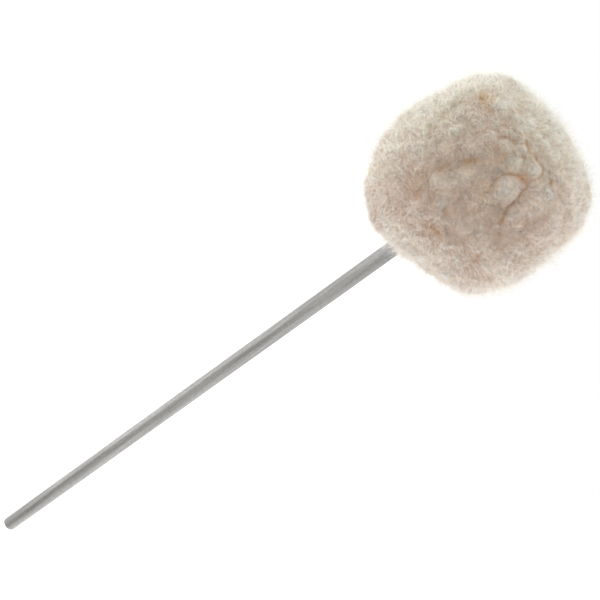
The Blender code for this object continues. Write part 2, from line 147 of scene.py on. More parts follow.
class Tree:
    """A node tree that is built by calls. add() makes any node and gives back one or all of its outputs."""

    def __init__(self, nodes_tree):
        self.tree = nodes_tree

    def feed(self, socket, value):
        """Links a Value to a socket, or sets the socket's own value. A colour has three numbers."""
        if isinstance(value, Value):
            self.tree.links.new(value.socket, socket)
        elif value is not None:
            socket.default_value = (*value, 1.0) if socket.type == "RGBA" else value

    def add(self, kind, settings=None, *values, out=0, **named):
        """Settings come first, since they decide a node's sockets. Then sockets, by order or by name."""
        node = self.tree.nodes.new(kind)
        for key, value in (settings or {}).items():
            if key == "stops":
                self.set_stops(node.color_ramp.elements, value)
            else:
                setattr(node, key, value)
        shown = [socket for socket in node.inputs if socket.enabled]
        for socket, value in zip(shown, values):
            self.feed(socket, value)
        for name, value in named.items():
            self.feed(next(s for s in shown if s.name == name.replace("_", " ")), value)
        results = [Value(self, socket) for socket in node.outputs if socket.enabled]
        if out == "all":
            return results
        return results[out] if results else node

    @staticmethod
    def set_stops(elements, stops):
        while len(elements) < len(stops):
            elements.new(1.0)
        for element, (position, colour) in zip(elements, stops):
            element.position = position
            element.color = (*colour, 1.0)

    def vector(self, operation, *values):
        return self.add("ShaderNodeVectorMath", {"operation": operation}, *values)

    def scaled(self, vector, factor):
        return self.add("ShaderNodeVectorMath", {"operation": "SCALE"}, Vector=vector, Scale=factor)

    def mix(self, factor, first, second, blend="MIX"):
        """A colour between two colours."""
        settings = {"data_type": "RGBA", "blend_type": blend, "clamp_factor": True}
        return self.add("ShaderNodeMix", settings, factor, first, second)


def finish(name, **fixed):
    """A new material, its tree and its Principled shader, with the inputs that stay the same all over."""
    made = bpy.data.materials.new(name)
    made.use_nodes = True
    tree = Tree(made.node_tree)
    shader = made.node_tree.nodes["Principled BSDF"]
    for label, value in fixed.items():
        tree.feed(shader.inputs[label.replace("_", " ")], value)
    return made, tree, shader


def emptied(owner):
    """The tree of a world or a material, with no nodes in it yet."""
    owner.use_nodes = True
    owner.node_tree.nodes.clear()
    return Tree(owner.node_tree)


print("shader maths ready")

# %% [markdown]
# ## The studio
#
# The picture has no background at all, and its light comes from every side, as in a tent of white cloth.
# The world is that tent. The camera, metal and anything clear see it as plain white, which is a strength
# of one. For the wool it is dimmer in front and brighter round the sides, with three lamps round the
# head, two of them a little behind it. A colour still renders about as it is written, and the head's edge
# is its palest part, as in the picture. The floor is pale and has a little light of its own, so it shows
# white and without a shadow, as the picture does.

# %% World
TENT_LIGHT = 1.3
FRONT_LIGHT = 0.7
FRONT_FROM = 0.1
FRONT_TO = 0.9
WHITE = (1.0, 1.0, 1.0)


def sees_white(tree):
    """One for the rays of the camera, of metal and of anything clear, and zero for the rest."""
    paths = tree.add("ShaderNodeLightPath", None, out="all")
    return paths[0].math("MAXIMUM", paths[3]).math("MAXIMUM", paths[6])


world = bpy.data.worlds.new("tent")
tent = emptied(world)
seen = sees_white(tent)
bearing = tent.vector("DOT_PRODUCT", tent.add("ShaderNodeTexCoord"), tuple(to_camera))
opening = ((bearing - FRONT_FROM) / (FRONT_TO - FRONT_FROM)).math("MINIMUM", 1.0).math("MAXIMUM", 0.0)
walls = TENT_LIGHT - opening * (TENT_LIGHT - FRONT_LIGHT)
strength = seen + (1 - seen) * walls
background = tent.add("ShaderNodeBackground", None, WHITE, strength)
tent.add("ShaderNodeOutputWorld", None, background)
scene.world = world
print("the tent is open towards", [round(c, 2) for c in to_camera])

# %% Lamps and floor
# Each lamp has its place from the head in the camera's own axes, right, up and towards the camera, its
# size across and its power in watts
LAMPS = {
    "upper_left": ((-0.4, 0.27, -0.22), 0.25, 1.1),
    "upper_right": ((0.3, 0.5, 0.36), 0.4, 0.85),
    "low": ((-0.02, -0.38, -0.2), 0.12, 0.62),
}
FLOOR_RADIUS = 1.6
FLOOR_SIDES = 64
FLOOR_DROP = 0.105
FLOOR_COLOUR = (0.8, 0.8, 0.8)
FLOOR_LIFT = 0.3
# A card, darker than the tent, lies on the floor in front for the metal to mirror. Neither the camera nor
# the wool sees it
CARD_CORNERS = [(-0.3, -0.4), (0.0, -1.3), (0.8, -1.3), (0.3, -0.4), (0.05, -0.06), (-0.14, -0.06)]
CARD_COLOUR = (0.6, 0.59, 0.59)
CARD_ABOVE_FLOOR = 0.002

head_middle = (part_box("core")[0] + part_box("core")[1]) / 2
for name, (place, across, watts) in LAMPS.items():
    lamp_data = bpy.data.lights.new(name, "AREA")
    lamp_data.shape = "DISK"
    lamp_data.size = across
    lamp_data.energy = watts
    lamp = placed(name, lamp_data)
    lamp.visible_glossy = False
    lamp.visible_camera = False
    lamp.location = head_middle + turn @ Vector(place)
    lamp.rotation_euler = (head_middle - lamp.location).to_track_quat("-Z", "Y").to_euler()
    print(name, "lamp at, mm:", [round(c / MM) for c in lamp.location])


def laid_flat(name, corners, height, made):
    """A flat sheet of the stage, level at that height."""
    body = bmesh.new()
    body.faces.new([body.verts.new((x, y, height)) for x, y in corners])
    mesh = bpy.data.meshes.new(name)
    body.to_mesh(mesh)
    body.free()
    mesh.materials.append(made)
    sheet = placed(name, mesh)
    return sheet


paint = bpy.data.materials.new("pale_floor")
tree = emptied(paint)
lit = tree.add("ShaderNodeBsdfDiffuse", None, FLOOR_COLOUR)
lift = tree.add("ShaderNodeEmission", None, WHITE, sees_white(tree) * FLOOR_LIFT)
tree.add("ShaderNodeOutputMaterial", None, tree.add("ShaderNodeAddShader", None, lit, lift))
dark = finish("dark_card", Base_Color=CARD_COLOUR)[0]

ground_z = rod_low.z - FLOOR_DROP
rim = [tau * i / FLOOR_SIDES for i in range(FLOOR_SIDES)]
laid_flat("floor", [(FLOOR_RADIUS * cos(a), FLOOR_RADIUS * sin(a)) for a in rim], ground_z, paint)
card = laid_flat("dark_card", CARD_CORNERS, ground_z + CARD_ABOVE_FLOOR, dark)
card.visible_camera = False
card.visible_diffuse = False
print("floor at z, mm:", round(ground_z / MM, 1))

# %% [markdown]
# ## Steel
#
# The rod is drawn bar, rubbed bright along its length. Such a finish is many fine scratches side by side,
# so the pattern is noise on Object coordinates, squeezed hard across the rod and hardly at all along it.
# The same noise moves the roughness, the brightness and a very small bump together, as real scratches do.

# %% Brushed steel
DULL_STEEL = (0.235, 0.232, 0.222)
BRIGHT_STEEL = (0.49, 0.485, 0.465)
# The rod is painted darker over its last millimetres before the wool, as painted shade of the wool
WOOL_SHADE_STEEL = (0.16, 0.155, 0.14)
WOOL_SHADE_REACH = 2.6 * MM
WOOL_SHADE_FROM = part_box("wool_side")[0].z - 3.2 * MM


def vary(tree, shader, colour, roughness, height, depth, strength):
    """Feeds what changes over a surface: its colour, its roughness and a bump of a depth in metres."""
    bump = tree.add("ShaderNodeBump", None, Strength=strength, Distance=depth, Height=height)
    for label, value in (("Base Color", colour), ("Roughness", roughness), ("Normal", bump)):
        tree.feed(shader.inputs[label], value)


def object_place(tree, scale=(1.0, 1.0, 1.0)):
    """Object coordinates, stretched or squeezed along each axis."""
    place = tree.add("ShaderNodeTexCoord", None, out="all")[3]
    return tree.add("ShaderNodeMapping", {"vector_type": "POINT"}, Vector=place, Scale=scale)


def spots(tree, place, scale, detail=3.0, rough=0.6):
    return tree.add("ShaderNodeTexNoise", None, Vector=place, Scale=scale, Detail=detail, Roughness=rough)


def centred(tree, vector):
    return tree.vector("SUBTRACT", vector, (0.5, 0.5, 0.5))


def shoves(tree, place, scale):
    """Smooth noise as a vector that points any way, to bend a pattern with."""
    return centred(tree, tree.add("ShaderNodeTexNoise", None, out=1, Vector=place, Scale=scale, Detail=1.0))


def height_of(tree):
    """The Object coordinate along Z."""
    place = tree.add("ShaderNodeTexCoord", None, out="all")[3]
    return tree.add("ShaderNodeSeparateXYZ", None, place, out=2)


def brushed_steel():
    made, tree, shader = finish("brushed_steel", Metallic=1.0)
    scratches = spots(tree, object_place(tree, (1.0, 1.0, 0.02)), 2600.0, 4.0, 0.7)
    streaks = spots(tree, object_place(tree, (1.0, 1.0, 0.03)), 700.0, 2.0)
    grain = spots(tree, object_place(tree, (1.0, 1.0, 0.3)), 2200.0, 3.0, 0.7)
    worn = scratches * 0.3 + streaks * 0.4 + grain * 0.3
    stops = [(0.36, DULL_STEEL), (0.62, BRIGHT_STEEL)]
    colour = tree.add("ShaderNodeValToRGB", {"stops": stops}, worn)
    # Painted shade: the steel darkens towards the wool, with a ragged edge from the grain
    painted_wool_shade = ((height_of(tree) - WOOL_SHADE_FROM) / WOOL_SHADE_REACH + (grain - 0.5) * 1.6) * 0.6
    colour = tree.mix(painted_wool_shade, colour, WOOL_SHADE_STEEL)
    vary(tree, shader, colour, 0.28 + worn * 0.24, scratches + grain * 0.6, 0.03 * MM, 0.3)
    return made


def dress(name, made):
    """Gives a CAD node its material, in every slot that it has."""
    for slot in nodes[name].material_slots:
        slot.material = made
    print(name, "is", made.name)


dress("shaft", brushed_steel())

# %% [markdown]
# ## The shape of the fleece
#
# The head is turned wool, so its outline is one curve: a squarish oval, blunt at the crown and rounder at
# the base. The pieces of the frame give its radius and heights. The leather inside gives the inner line.

# %% Outline of the head
PILE_SIDE = 13.0 * MM
PILE_CROWN = 15.0 * MM
WOOL_UNDER_NECK = 2.4 * MM
FULLNESS_BELOW = 2.44
FULLNESS_ABOVE = 3.51
CORE_EDGE_RADIUS = 4.2 * MM
SEAM_ANGLE = 35.0
FIT = 0.3 * MM
BODY_INSET = 0.8 * MM
HALVINGS = 30

cover_low, cover_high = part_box("cover_side")
core_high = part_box("core")[1]
middle = head_middle.z
edge_r = core_high.x - CORE_EDGE_RADIUS
edge_z = core_high.z - middle - CORE_EDGE_RADIUS
leather = cover_high.x - edge_r
wool_r = cover_high.x + PILE_SIDE
above = edge_z + leather + PILE_CROWN
below = middle - cover_low.z + WOOL_UNDER_NECK


def outline_point(angle):
    """A point on the outline, as radius and height above the core's middle, by an angle up from level."""
    half, fullness = (above, FULLNESS_ABOVE) if angle > 0 else (below, FULLNESS_BELOW)
    low, high = 0.0, 2 * wool_r
    for _ in range(HALVINGS):
        reach = (low + high) / 2
        r, z = reach * cos(radians(angle)), reach * sin(radians(angle))
        inside = (r / wool_r) ** 2 + abs(z / half) ** fullness < 1
        low, high = (reach, high) if inside else (low, reach)
    return low * cos(radians(angle)), low * sin(radians(angle))


def even(points, step):
    """The same line with points a steady step apart."""
    line = np.array(points)
    run = np.concatenate([[0.0], np.cumsum(np.linalg.norm(np.diff(line, axis=0), axis=1))])
    count = max(2, round(run[-1] / step))
    places = np.linspace(0, run[-1], count + 1)
    return [(np.interp(p, run, line[:, 0]), np.interp(p, run, line[:, 1])) for p in places]


print("head: radius %.1f mm, %.1f above and %.1f below its middle" % (wool_r / MM, above / MM, below / MM))

# %% Profiles of the two fleeces
STEP = 0.65 * MM
LINING_STEP = 2.5 * MM
ROUND_STEPS = 360
SEAM_ROOM = 1.4 * MM
THROAT_TOP = 3.0 * MM
SHOULDER_TOP = 2.7 * MM
SHOULDER_WIDTH = 1.5 * MM
SIDE_POINTS = 400
CROWN_POINTS = 200


def ring_point(height, offset, angle, centre_r=edge_r):
    """A point at an offset from the middle of the cover's rounded edge, or from another centre."""
    return centre_r + offset * cos(radians(angle)), height + offset * sin(radians(angle))


def arc(height, offset, first, last, steps, *centre_r):
    angles = [first + (last - first) * i / steps for i in range(steps + 1)]
    return [ring_point(height, offset, angle, *centre_r) for angle in angles]


def off_seam(r, z):
    """How far a point lies above the line in which the seam runs out through the pile."""
    return (z - edge_z) * cos(radians(SEAM_ANGLE)) - (r - edge_r) * sin(radians(SEAM_ANGLE))


# To a tenth of a degree
seam_at = min(range(0, 900), key=lambda tenth: abs(off_seam(*outline_point(tenth / 10)))) / 10
lining = leather + FIT
channel = leather + SEAM_ROOM
hole_r = rod_r + FIT
tie_hole_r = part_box("neck_tie")[1].x + FIT
neck_z = cover_low.z - FIT - middle
nut_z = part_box("lower_nut")[0].z - middle
inner_side = [
    (hole_r, neck_z),
    (tie_hole_r, neck_z),
    (tie_hole_r, nut_z - THROAT_TOP),
    (tie_hole_r + SHOULDER_WIDTH, nut_z - SHOULDER_TOP),
    *arc(-edge_z, lining, -90, 0, 8),
    *arc(edge_z, lining, 0, SEAM_ANGLE - 12, 4),
    *arc(edge_z, channel, SEAM_ANGLE - 10, SEAM_ANGLE - 1, 2),
]
outer_side = [outline_point(seam_at - (seam_at + 90) * i / SIDE_POINTS) for i in range(SIDE_POINTS)]
outer_side = [(r, z) for r, z in outer_side if r > hole_r] + [(hole_r, -below)]
outer_crown = [outline_point(90 - (90 - seam_at) * i / CROWN_POINTS) for i in range(CROWN_POINTS + 1)]
inner_crown = [
    *arc(edge_z, channel, SEAM_ANGLE + 1, SEAM_ANGLE + 10, 2),
    *arc(edge_z, lining, SEAM_ANGLE + 12, 90, 5),
    (0.0, edge_z + lining),
]
print("the parting meets the outline %.1f degrees up" % seam_at)

# %% [markdown]
# ## The lumpy fleece
#
# Pile does not lie evenly. Its locks lean on each other in soft tufts with dark creases between, and
# handling parts it in longer lines. We grow a field of round tufts and one of small locks about seeded
# random centres: each vertex takes the highest paraboloid over it, which leaves a crease wherever two of
# them meet. The tufts and partings that catch the eye in the picture are then set in one by one, each by
# the pixel where it shows, and a few wide swells make the outline uneven.

# %% From a pixel to the head


def ray_target(mesh):
    return BVHTree.FromPolygons([v.co for v in mesh.vertices], [p.vertices for p in mesh.polygons])


def sight_line(pixel):
    """The direction in which the camera sees a pixel."""
    return (turn @ seen_at(pixel, 1.0)).normalized()


shells = [ray_target(nodes[name].data) for name in ("wool_side", "wool_crown")]


def towards_outline(x, y, z):
    """The point of the plain outline that lies that way from the core's middle."""
    flat = np.hypot(x, y)
    r, height = outline_point(degrees(np.arctan2(z, flat)))
    return np.array((r * x / flat, r * y / flat, middle + height))


def on_head(pixel):
    """The point of the plain outline under what the head shows at a pixel."""
    hits = [shell.ray_cast(camera.location, sight_line(pixel)) for shell in shells]
    x, y, z = min((hit for hit in hits if hit[0] is not None), key=lambda hit: hit[3])[0]
    return towards_outline(x, y, z - middle)


def steps_along(pixels, step):
    """Points on the head along a line drawn in the picture, a steady step apart."""
    corners = [on_head(pixel) for pixel in pixels]
    points = []
    for a, b in zip(corners, corners[1:]):
        count = max(1, round(np.linalg.norm(b - a) / step))
        points += [a + (b - a) * i / count for i in range(count)]
    return points + [corners[-1]]


print("the middle of the head shows at, mm:", np.round(on_head((480, 184)) / MM, 1))

# %% Tufts and partings of the picture
# Each tuft has its pixel, its radius and its height over the pile round it, in millimetres
TUFTS = [
    ((508, 190), 5.4, 0.7), ((537, 169), 3.4, 0.4), ((515, 164), 3.4, 0.3), ((525, 151), 2.8, 0.3),
    ((505, 146), 3.0, 0.25), ((510, 132), 2.8, 0.25), ((489, 136), 3.2, 0.25), ((500, 105), 3.6, 0.35),
    ((454, 130), 3.4, 0.2), ((473, 114), 2.6, 0.2), ((465, 176), 4.4, 0.15), ((436, 182), 4.0, 0.15),
    ((402, 228), 5.0, 0.3), ((464, 229), 3.8, 0.25), ((448, 243), 3.6, 0.2), ((499, 268), 6.0, 0.4),
    ((533, 206), 5.6, 0.25), ((545, 235), 6.0, 0.2), ((418, 150), 6.0, 0.2), ((470, 84), 5.0, 0.3),
    ((572, 195), 5.5, 0.2), ((519, 117), 2.4, 0.4), ((531, 125), 2.4, 0.4), ((522, 135), 2.3, 0.35),
    ((539, 134), 2.3, 0.35), ((547, 145), 2.4, 0.4), ((556, 158), 2.4, 0.4), ((562, 178), 2.6, 0.3),
    ((551, 196), 2.8, 0.2), ((515, 92), 2.6, 0.3), ((529, 109), 2.3, 0.35), ((549, 119), 2.4, 0.35),
    ((574, 177), 2.8, 0.3), ((440, 202), 3.0, 0.2), ((418, 206), 3.2, 0.2), ((476, 243), 3.4, 0.2),
    ((458, 258), 3.2, 0.2), ((517, 250), 3.6, 0.2), ((447, 148), 5.0, -0.1),
]
# Each parting has its width and depth in millimetres, and the pixels of its line
PARTINGS = [
    (0.65, 0.8, [(525, 179), (528, 186), (525, 192), (519, 199), (514, 205), (509, 210), (505, 217),
                 (502, 223)]),
    (0.6, 0.55, [(502, 223), (500, 232), (500, 239)]),
    (0.6, 0.7, [(487, 192), (493, 182), (499, 177), (506, 174), (515, 174), (525, 177)]),
    (0.6, 0.5, [(533, 182), (541, 178)]), (0.7, 0.9, [(537, 153), (540, 160), (547, 168)]),
    (0.7, 0.9, [(552, 171), (555, 183)]), (0.7, 0.9, [(522, 155), (528, 158)]),
    (0.7, 0.9, [(528, 139), (531, 150)]), (0.7, 0.9, [(504, 134), (511, 137), (518, 141)]),
    (0.7, 0.9, [(506, 122), (515, 128)]), (0.6, 0.8, [(519, 104), (523, 112)]),
    (0.6, 0.8, [(523, 98), (530, 105)]), (0.6, 0.8, [(533, 110), (541, 117), (546, 122)]),
    (0.6, 0.8, [(540, 126), (548, 137)]), (0.6, 0.8, [(563, 142), (568, 153)]),
    (0.8, 0.3, [(527, 236), (530, 245), (528, 255)]), (0.8, 0.4, [(464, 160), (474, 161), (483, 159)]),
    (0.8, 0.3, [(438, 167), (450, 168)]), (0.7, 0.5, [(466, 274), (472, 267), (482, 254)]),
    (0.8, 0.3, [(474, 213), (482, 209)]), (0.8, 0.2, [(425, 227), (433, 227), (437, 233)]),
]
# Where the wool is browner, partly stains and partly painted shade beside the partings: pixel, radius in
# millimetres and strength
BROWN_SPOTS = [
    ((483, 93), 2.6, 1.0), ((486, 98), 2.0, 1.0), ((489, 101), 1.6, 1.0), ((491, 107), 1.2, 0.6),
    ((525, 179), 1.9, 1.0), ((521, 176), 1.4, 0.7), ((433, 231), 2.6, 0.8), ((438, 233), 2.2, 0.7),
    ((429, 228), 1.6, 0.6), ((424, 228), 1.2, 0.4), ((463, 162), 1.3, 0.5), ((468, 160), 1.4, 0.65),
    ((473, 159), 1.3, 0.65), ((478, 159), 1.2, 0.6), ((483, 158), 1.1, 0.45), ((441, 168), 1.9, 0.45),
    ((446, 166), 2.0, 0.5), ((450, 167), 1.5, 0.4), ((474, 258), 1.3, 0.6), ((478, 263), 1.6, 0.6),
    ((470, 269), 1.4, 0.5), ((464, 274), 1.6, 0.5), ((473, 212), 1.3, 0.5), ((479, 209), 1.4, 0.5),
    ((564, 222), 2.4, 0.4), ((484, 195), 1.5, 0.5), ((489, 188), 1.5, 0.5), ((494, 182), 1.4, 0.4),
    ((490, 155), 5.0, 0.25), ((511, 138), 1.6, 0.4), ((412, 189), 3.0, 0.55), ((420, 176), 3.0, 0.45),
    ((481, 186), 3.4, 0.15), ((430, 190), 3.0, 0.25),
    ((457, 193), 2.0, 0.35), ((466, 213), 1.8, 0.35), ((445, 214), 1.6, 0.4), ((408, 172), 2.4, 0.3),
]
# Where a tuft's top is painted paler, as painted highlight, in the same way
PALE_SPOTS = [
    ((509, 190), 4.6, 1.0), ((513, 161), 2.6, 0.8), ((535, 172), 2.8, 0.9), ((537, 161), 2.0, 0.6),
    ((524, 145), 2.0, 0.7), ((510, 139), 2.0, 0.6), ((495, 132), 2.2, 0.4), ((467, 174), 3.4, 0.25),
    ((438, 180), 2.8, 0.5), ((488, 267), 4.0, 0.5), ((508, 259), 3.6, 0.4), ((524, 213), 3.6, 0.5),
    ((457, 226), 2.6, 0.4), ((556, 127), 3.0, 0.5), ((566, 140), 2.6, 0.5), ((547, 196), 3.0, 0.4),
    ((540, 240), 4.0, 0.4), ((500, 105), 3.0, 0.5), ((519, 117), 1.8, 0.6), ((531, 125), 1.8, 0.6),
    ((529, 109), 1.8, 0.6), ((539, 134), 1.7, 0.6), ((549, 119), 1.9, 0.5), ((547, 145), 1.8, 0.7),
    ((556, 158), 1.8, 0.6), ((552, 175), 1.9, 0.5), ((574, 177), 2.2, 0.4), ((503, 97), 2.0, 0.5),
    ((514, 91), 2.0, 0.5), ((524, 101), 1.8, 0.5), ((496, 116), 2.2, 0.5), ((508, 128), 1.9, 0.6),
]
# Where the wool swells or sinks: azimuth and elevation in degrees from the core's middle, then reach and
# height in millimetres
SWELLS = [
    (-155, -59, 13.0, 3.0), (-66, -44, 18.0, -3.6), (-178, 22, 6.5, -1.2), (179, 53, 8.0, 1.4),
    (-173, -13, 9.0, 1.0), (-1, 50, 6.0, 1.0), (-4, 23, 8.0, -1.2), (-44, -63, 9.0, -1.3),
    (166, 33, 5.0, 2.0), (-14, -33, 5.0, 1.1), (-155, -50, 6.0, 0.6), (-171, -25, 9.0, 0.7),
    (-95, -68, 5.0, 0.8), (-130, -65, 6.0, 1.6), (18, 41, 4.5, -1.5), (-162, -41, 6.0, 0.7),
    (13, 32, 4.5, 1.2), (25, 50, 4.5, 1.2), (180, 1, 7.0, 0.9),
]
print(len(TUFTS), "tufts,", len(PARTINGS), "partings")

# %% Field of tufts
TUFT_SPACING = 7.5 * MM
TUFT_DEPTH = 0.7 * MM
LOCK_SPACING = 4.4 * MM
LOCK_DEPTH = 0.58 * MM
TUFT_HEIGHTS = (-0.25, 0.25)
TUFT_CURVES = (16.0, 30.0)
LOCK_HEIGHTS = (-0.12, 0.12)
LOCK_CURVES = (7.0, 12.0)
CLEAR_OF_SET_IN = 0.6
TUFT_SOFTNESS = 0.16 * MM
LOCK_SOFTNESS = 0.08 * MM
WAVES = 12
WANDER_REACH = 0.35 * MM
WANDER_LENGTH = 9.0 * MM
FIELD_SEED = 7
TUFT_SEED = 21
LOCK_SEED = 22
# What the paraboloids are added to, so that there is always a number to take the logarithm of
NEXT_TO_NOTHING = 1e-30
random = np.random.default_rng(FIELD_SEED)


def scatter_on_head(spacing):
    """Random points on the outline, as many as fit at that spacing."""
    area = 4 * pi * wool_r * (above + below) / 2
    aims = random.normal(size=(round(area / spacing ** 2), 3))
    return np.array([towards_outline(*aim) for aim in aims])


def wandered(points, seed):
    """Moves each point a little by smooth random waves, so that the tufts drawn on them aren't round."""
    own = np.random.default_rng(seed)
    moved = points.copy()
    for _ in range(WAVES):
        wave = own.normal(size=3) * tau / WANDER_LENGTH
        moved += np.sin(points @ wave + own.uniform(0, tau))[:, None] * own.normal(size=3) * WANDER_REACH
    return moved


def highest(points, centres, heights, curves, softness):
    """For each point, the highest of the paraboloids that stand on the centres, blended where they meet."""
    total = np.full(len(points), NEXT_TO_NOTHING)
    for centre, height, curve in zip(centres, heights, curves):
        away = ((points - centre) ** 2).sum(1)
        total += np.exp((height - away / curve) / softness)
    return np.log(total) * softness


tuft_centres = scatter_on_head(TUFT_SPACING)
tuft_heights = random.uniform(*TUFT_HEIGHTS, len(tuft_centres)) * MM
tuft_curves = random.uniform(*TUFT_CURVES, len(tuft_centres)) * MM
set_in = np.array([on_head(pixel) for pixel, _, _ in TUFTS])
set_in_reach = np.array([reach for _, reach, _ in TUFTS]) * MM
set_in_heights = np.array([height for _, _, height in TUFTS]) * MM
clear = [np.linalg.norm(set_in - c, axis=1).min() > TUFT_SPACING * CLEAR_OF_SET_IN for c in tuft_centres]
tuft_centres, tuft_heights, tuft_curves = tuft_centres[clear], tuft_heights[clear], tuft_curves[clear]
set_in_curves = set_in_reach ** 2 / (TUFT_DEPTH + set_in_heights)
lock_centres = scatter_on_head(LOCK_SPACING)
lock_heights = random.uniform(*LOCK_HEIGHTS, len(lock_centres)) * MM
lock_curves = random.uniform(*LOCK_CURVES, len(lock_centres)) * MM
print(len(tuft_centres) + len(set_in), "tufts and", len(lock_centres), "small locks")

# %% Turn the fleeces and raise their tufts
NUDGE = 0.01 * MM
MERGE = 0.002 * MM
HARD_EDGE = 60
PARTING_STEP = 0.6


def outline_value(points):
    """One on the outline, less inside."""
    height = points[:, 2] - middle
    half = np.where(height > 0, above, below)
    fullness = np.where(height > 0, FULLNESS_ABOVE, FULLNESS_BELOW)
    return (points[:, 0] ** 2 + points[:, 1] ** 2) / wool_r ** 2 + np.abs(height / half) ** fullness


def outline_normals(points):
    slopes = [outline_value(points + step) - outline_value(points - step) for step in np.eye(3) * NUDGE]
    normals = np.array(slopes).T
    return normals / np.linalg.norm(normals, axis=1, keepdims=True)


def turned(name, profile, closed, steps=ROUND_STEPS):
    """Turns a profile about Z. The profile runs down the outside and back up the inside."""
    shape = bmesh.new()
    verts = [shape.verts.new((r, 0, middle + z)) for r, z in profile]
    for a, b in zip(verts, verts[1:] + verts[:1] if closed else verts[1:]):
        shape.edges.new((a, b))
    mesh = bpy.data.meshes.new(name)
    shape.to_mesh(mesh)
    shape.free()
    piece = placed(name, mesh)
    screw = piece.modifiers.new("turn", "SCREW")
    screw.steps = screw.render_steps = steps
    screw.use_merge_vertices = True
    screw.merge_threshold = MERGE
    return settled(piece)


def settled(piece):
    """The same object with its modifiers made into a plain mesh."""
    bpy.context.view_layer.update()
    mesh = bpy.data.meshes.new_from_object(piece.evaluated_get(bpy.context.evaluated_depsgraph_get()))
    mesh.name = piece.name
    piece.modifiers.clear()
    piece.data = mesh
    mesh.shade_smooth()
    mesh.set_sharp_from_angle(angle=radians(HARD_EDGE))
    return piece


def near_lines(points, lines):
    """For each point, how deep the partings cut there, from 0 to their depth."""
    cut = np.zeros(len(points))
    for width, depth, pixels in lines:
        for place in steps_along(pixels, width * MM * PARTING_STEP):
            away = ((points - place) ** 2).sum(1)
            cut = np.maximum(cut, depth * MM * np.exp(-away / (width * MM) ** 2))
    return cut


def swelling(points):
    """How far each point of the outline moves away from the middle of the core, as vectors."""
    from_middle = points - [0, 0, middle]
    length = np.linalg.norm(from_middle, axis=1, keepdims=True)
    total = 0.0
    for azimuth, elevation, reach, height in SWELLS:
        level = cos(radians(elevation))
        aim = [level * cos(radians(azimuth)), level * sin(radians(azimuth)), sin(radians(elevation))]
        away = np.linalg.norm(from_middle - length * aim, axis=1, keepdims=True)
        total = total + height * MM * np.exp(-(away / (reach * MM)) ** 2)
    return total * from_middle / length


SKIN_FROM = 0.985
SEAM_GROOVE = 0.15 * MM
SEAM_GROOVE_WIDTH = 1.2 * MM
NECK_FADE = 6.0 * MM
PARTING_RELIEF = 0.5
# A crease's shade starts at a height of the tufts and is full so much lower, with the locks counted more.
# A parting has full shade where it is as deep as these
CREASE_FROM = 0.1 * MM
CREASE_REACH = 2.2 * MM
CREASE_OF_LOCKS = 1.3
CREASE_IN_PARTING = 1.2 * MM
BROWN_IN_PARTING = 1.6 * MM


def raise_tufts(piece):
    """Moves the outside of a fleece in and out along the outline's normals, and notes what the wool needs:
    where the pile is, its creases and colours, and the normals that it had before."""
    mesh = piece.data
    count = len(mesh.vertices)
    places = np.zeros(count * 3)
    mesh.vertices.foreach_get("co", places)
    places = places.reshape(-1, 3)
    pile = (outline_value(places) > SKIN_FROM).astype(float)
    outside = pile > 0
    points = places[outside]
    tufts = highest(wandered(points, TUFT_SEED), tuft_centres, tuft_heights, tuft_curves, TUFT_SOFTNESS)
    seen_tufts = highest(points, set_in, set_in_heights, set_in_curves, TUFT_SOFTNESS)
    tufts = np.logaddexp(tufts / TUFT_SOFTNESS, seen_tufts / TUFT_SOFTNESS) * TUFT_SOFTNESS
    locks = highest(wandered(points, LOCK_SEED), lock_centres, lock_heights, lock_curves, LOCK_SOFTNESS)
    tufts = np.maximum(tufts, -TUFT_DEPTH)
    locks = np.maximum(locks, -LOCK_DEPTH)
    cut = near_lines(points, PARTINGS)
    radius = np.hypot(points[:, 0], points[:, 1])
    seam = np.abs(off_seam(radius, points[:, 2] - middle))
    seam[points[:, 2] < middle] = 1.0
    groove = SEAM_GROOVE * np.exp(-(seam / SEAM_GROOVE_WIDTH) ** 2)
    fade = np.clip((radius - hole_r) / NECK_FADE, 0, 1)
    fade[points[:, 2] > middle] = 1.0
    raised = tufts + locks - cut * PARTING_RELIEF - groove - BODY_INSET
    plain = np.zeros((count, 3))
    plain[outside] = outline_normals(points)
    places[outside] = points + plain[outside] * (raised * fade)[:, None] + swelling(points)
    mesh.vertices.foreach_set("co", places.ravel())
    crease, brown, pale = np.zeros((3, count))
    # Painted shade: the crease value darkens the wool's colour where the pile is low or parted
    low = (CREASE_FROM - tufts - CREASE_OF_LOCKS * locks) / CREASE_REACH
    crease[outside] = np.clip(low + cut / CREASE_IN_PARTING, 0, 1)
    # Brown marks are partly stains and partly painted shade; pale marks are painted highlight on tufts
    for shade, marks in ((brown, BROWN_SPOTS), (pale, PALE_SPOTS)):
        for pixel, reach, strength in marks:
            away = ((points - on_head(pixel)) ** 2).sum(1)
            shade[outside] = np.maximum(shade[outside], strength * np.exp(-away / (reach * MM) ** 2))
    # Partings are painted browner, as painted shade
    brown[outside] = np.maximum(brown[outside], cut / BROWN_IN_PARTING)
    for label, values in (("pile", pile), ("crease", crease), ("brown", brown), ("pale", pale)):
        mesh.attributes.new(label, "FLOAT", "POINT").data.foreach_set("value", values.astype(np.float32))
    before = mesh.attributes.new("plain", "FLOAT_VECTOR", "POINT")
    before.data.foreach_set("vector", plain.astype(np.float32).ravel())
    mesh.update()
    print(piece.name, "has", len(mesh.polygons), "faces, raised by, mm:",
          [round(float(h) / MM, 1) for h in (raised.min(), raised.max())])


fleece_side = turned("fleece_side", even(outer_side, STEP) + even(inner_side, LINING_STEP), True)
raise_tufts(fleece_side)
fleece_crown = turned("fleece_crown", even(outer_crown, STEP) + even(inner_crown, LINING_STEP), False)
raise_tufts(fleece_crown)
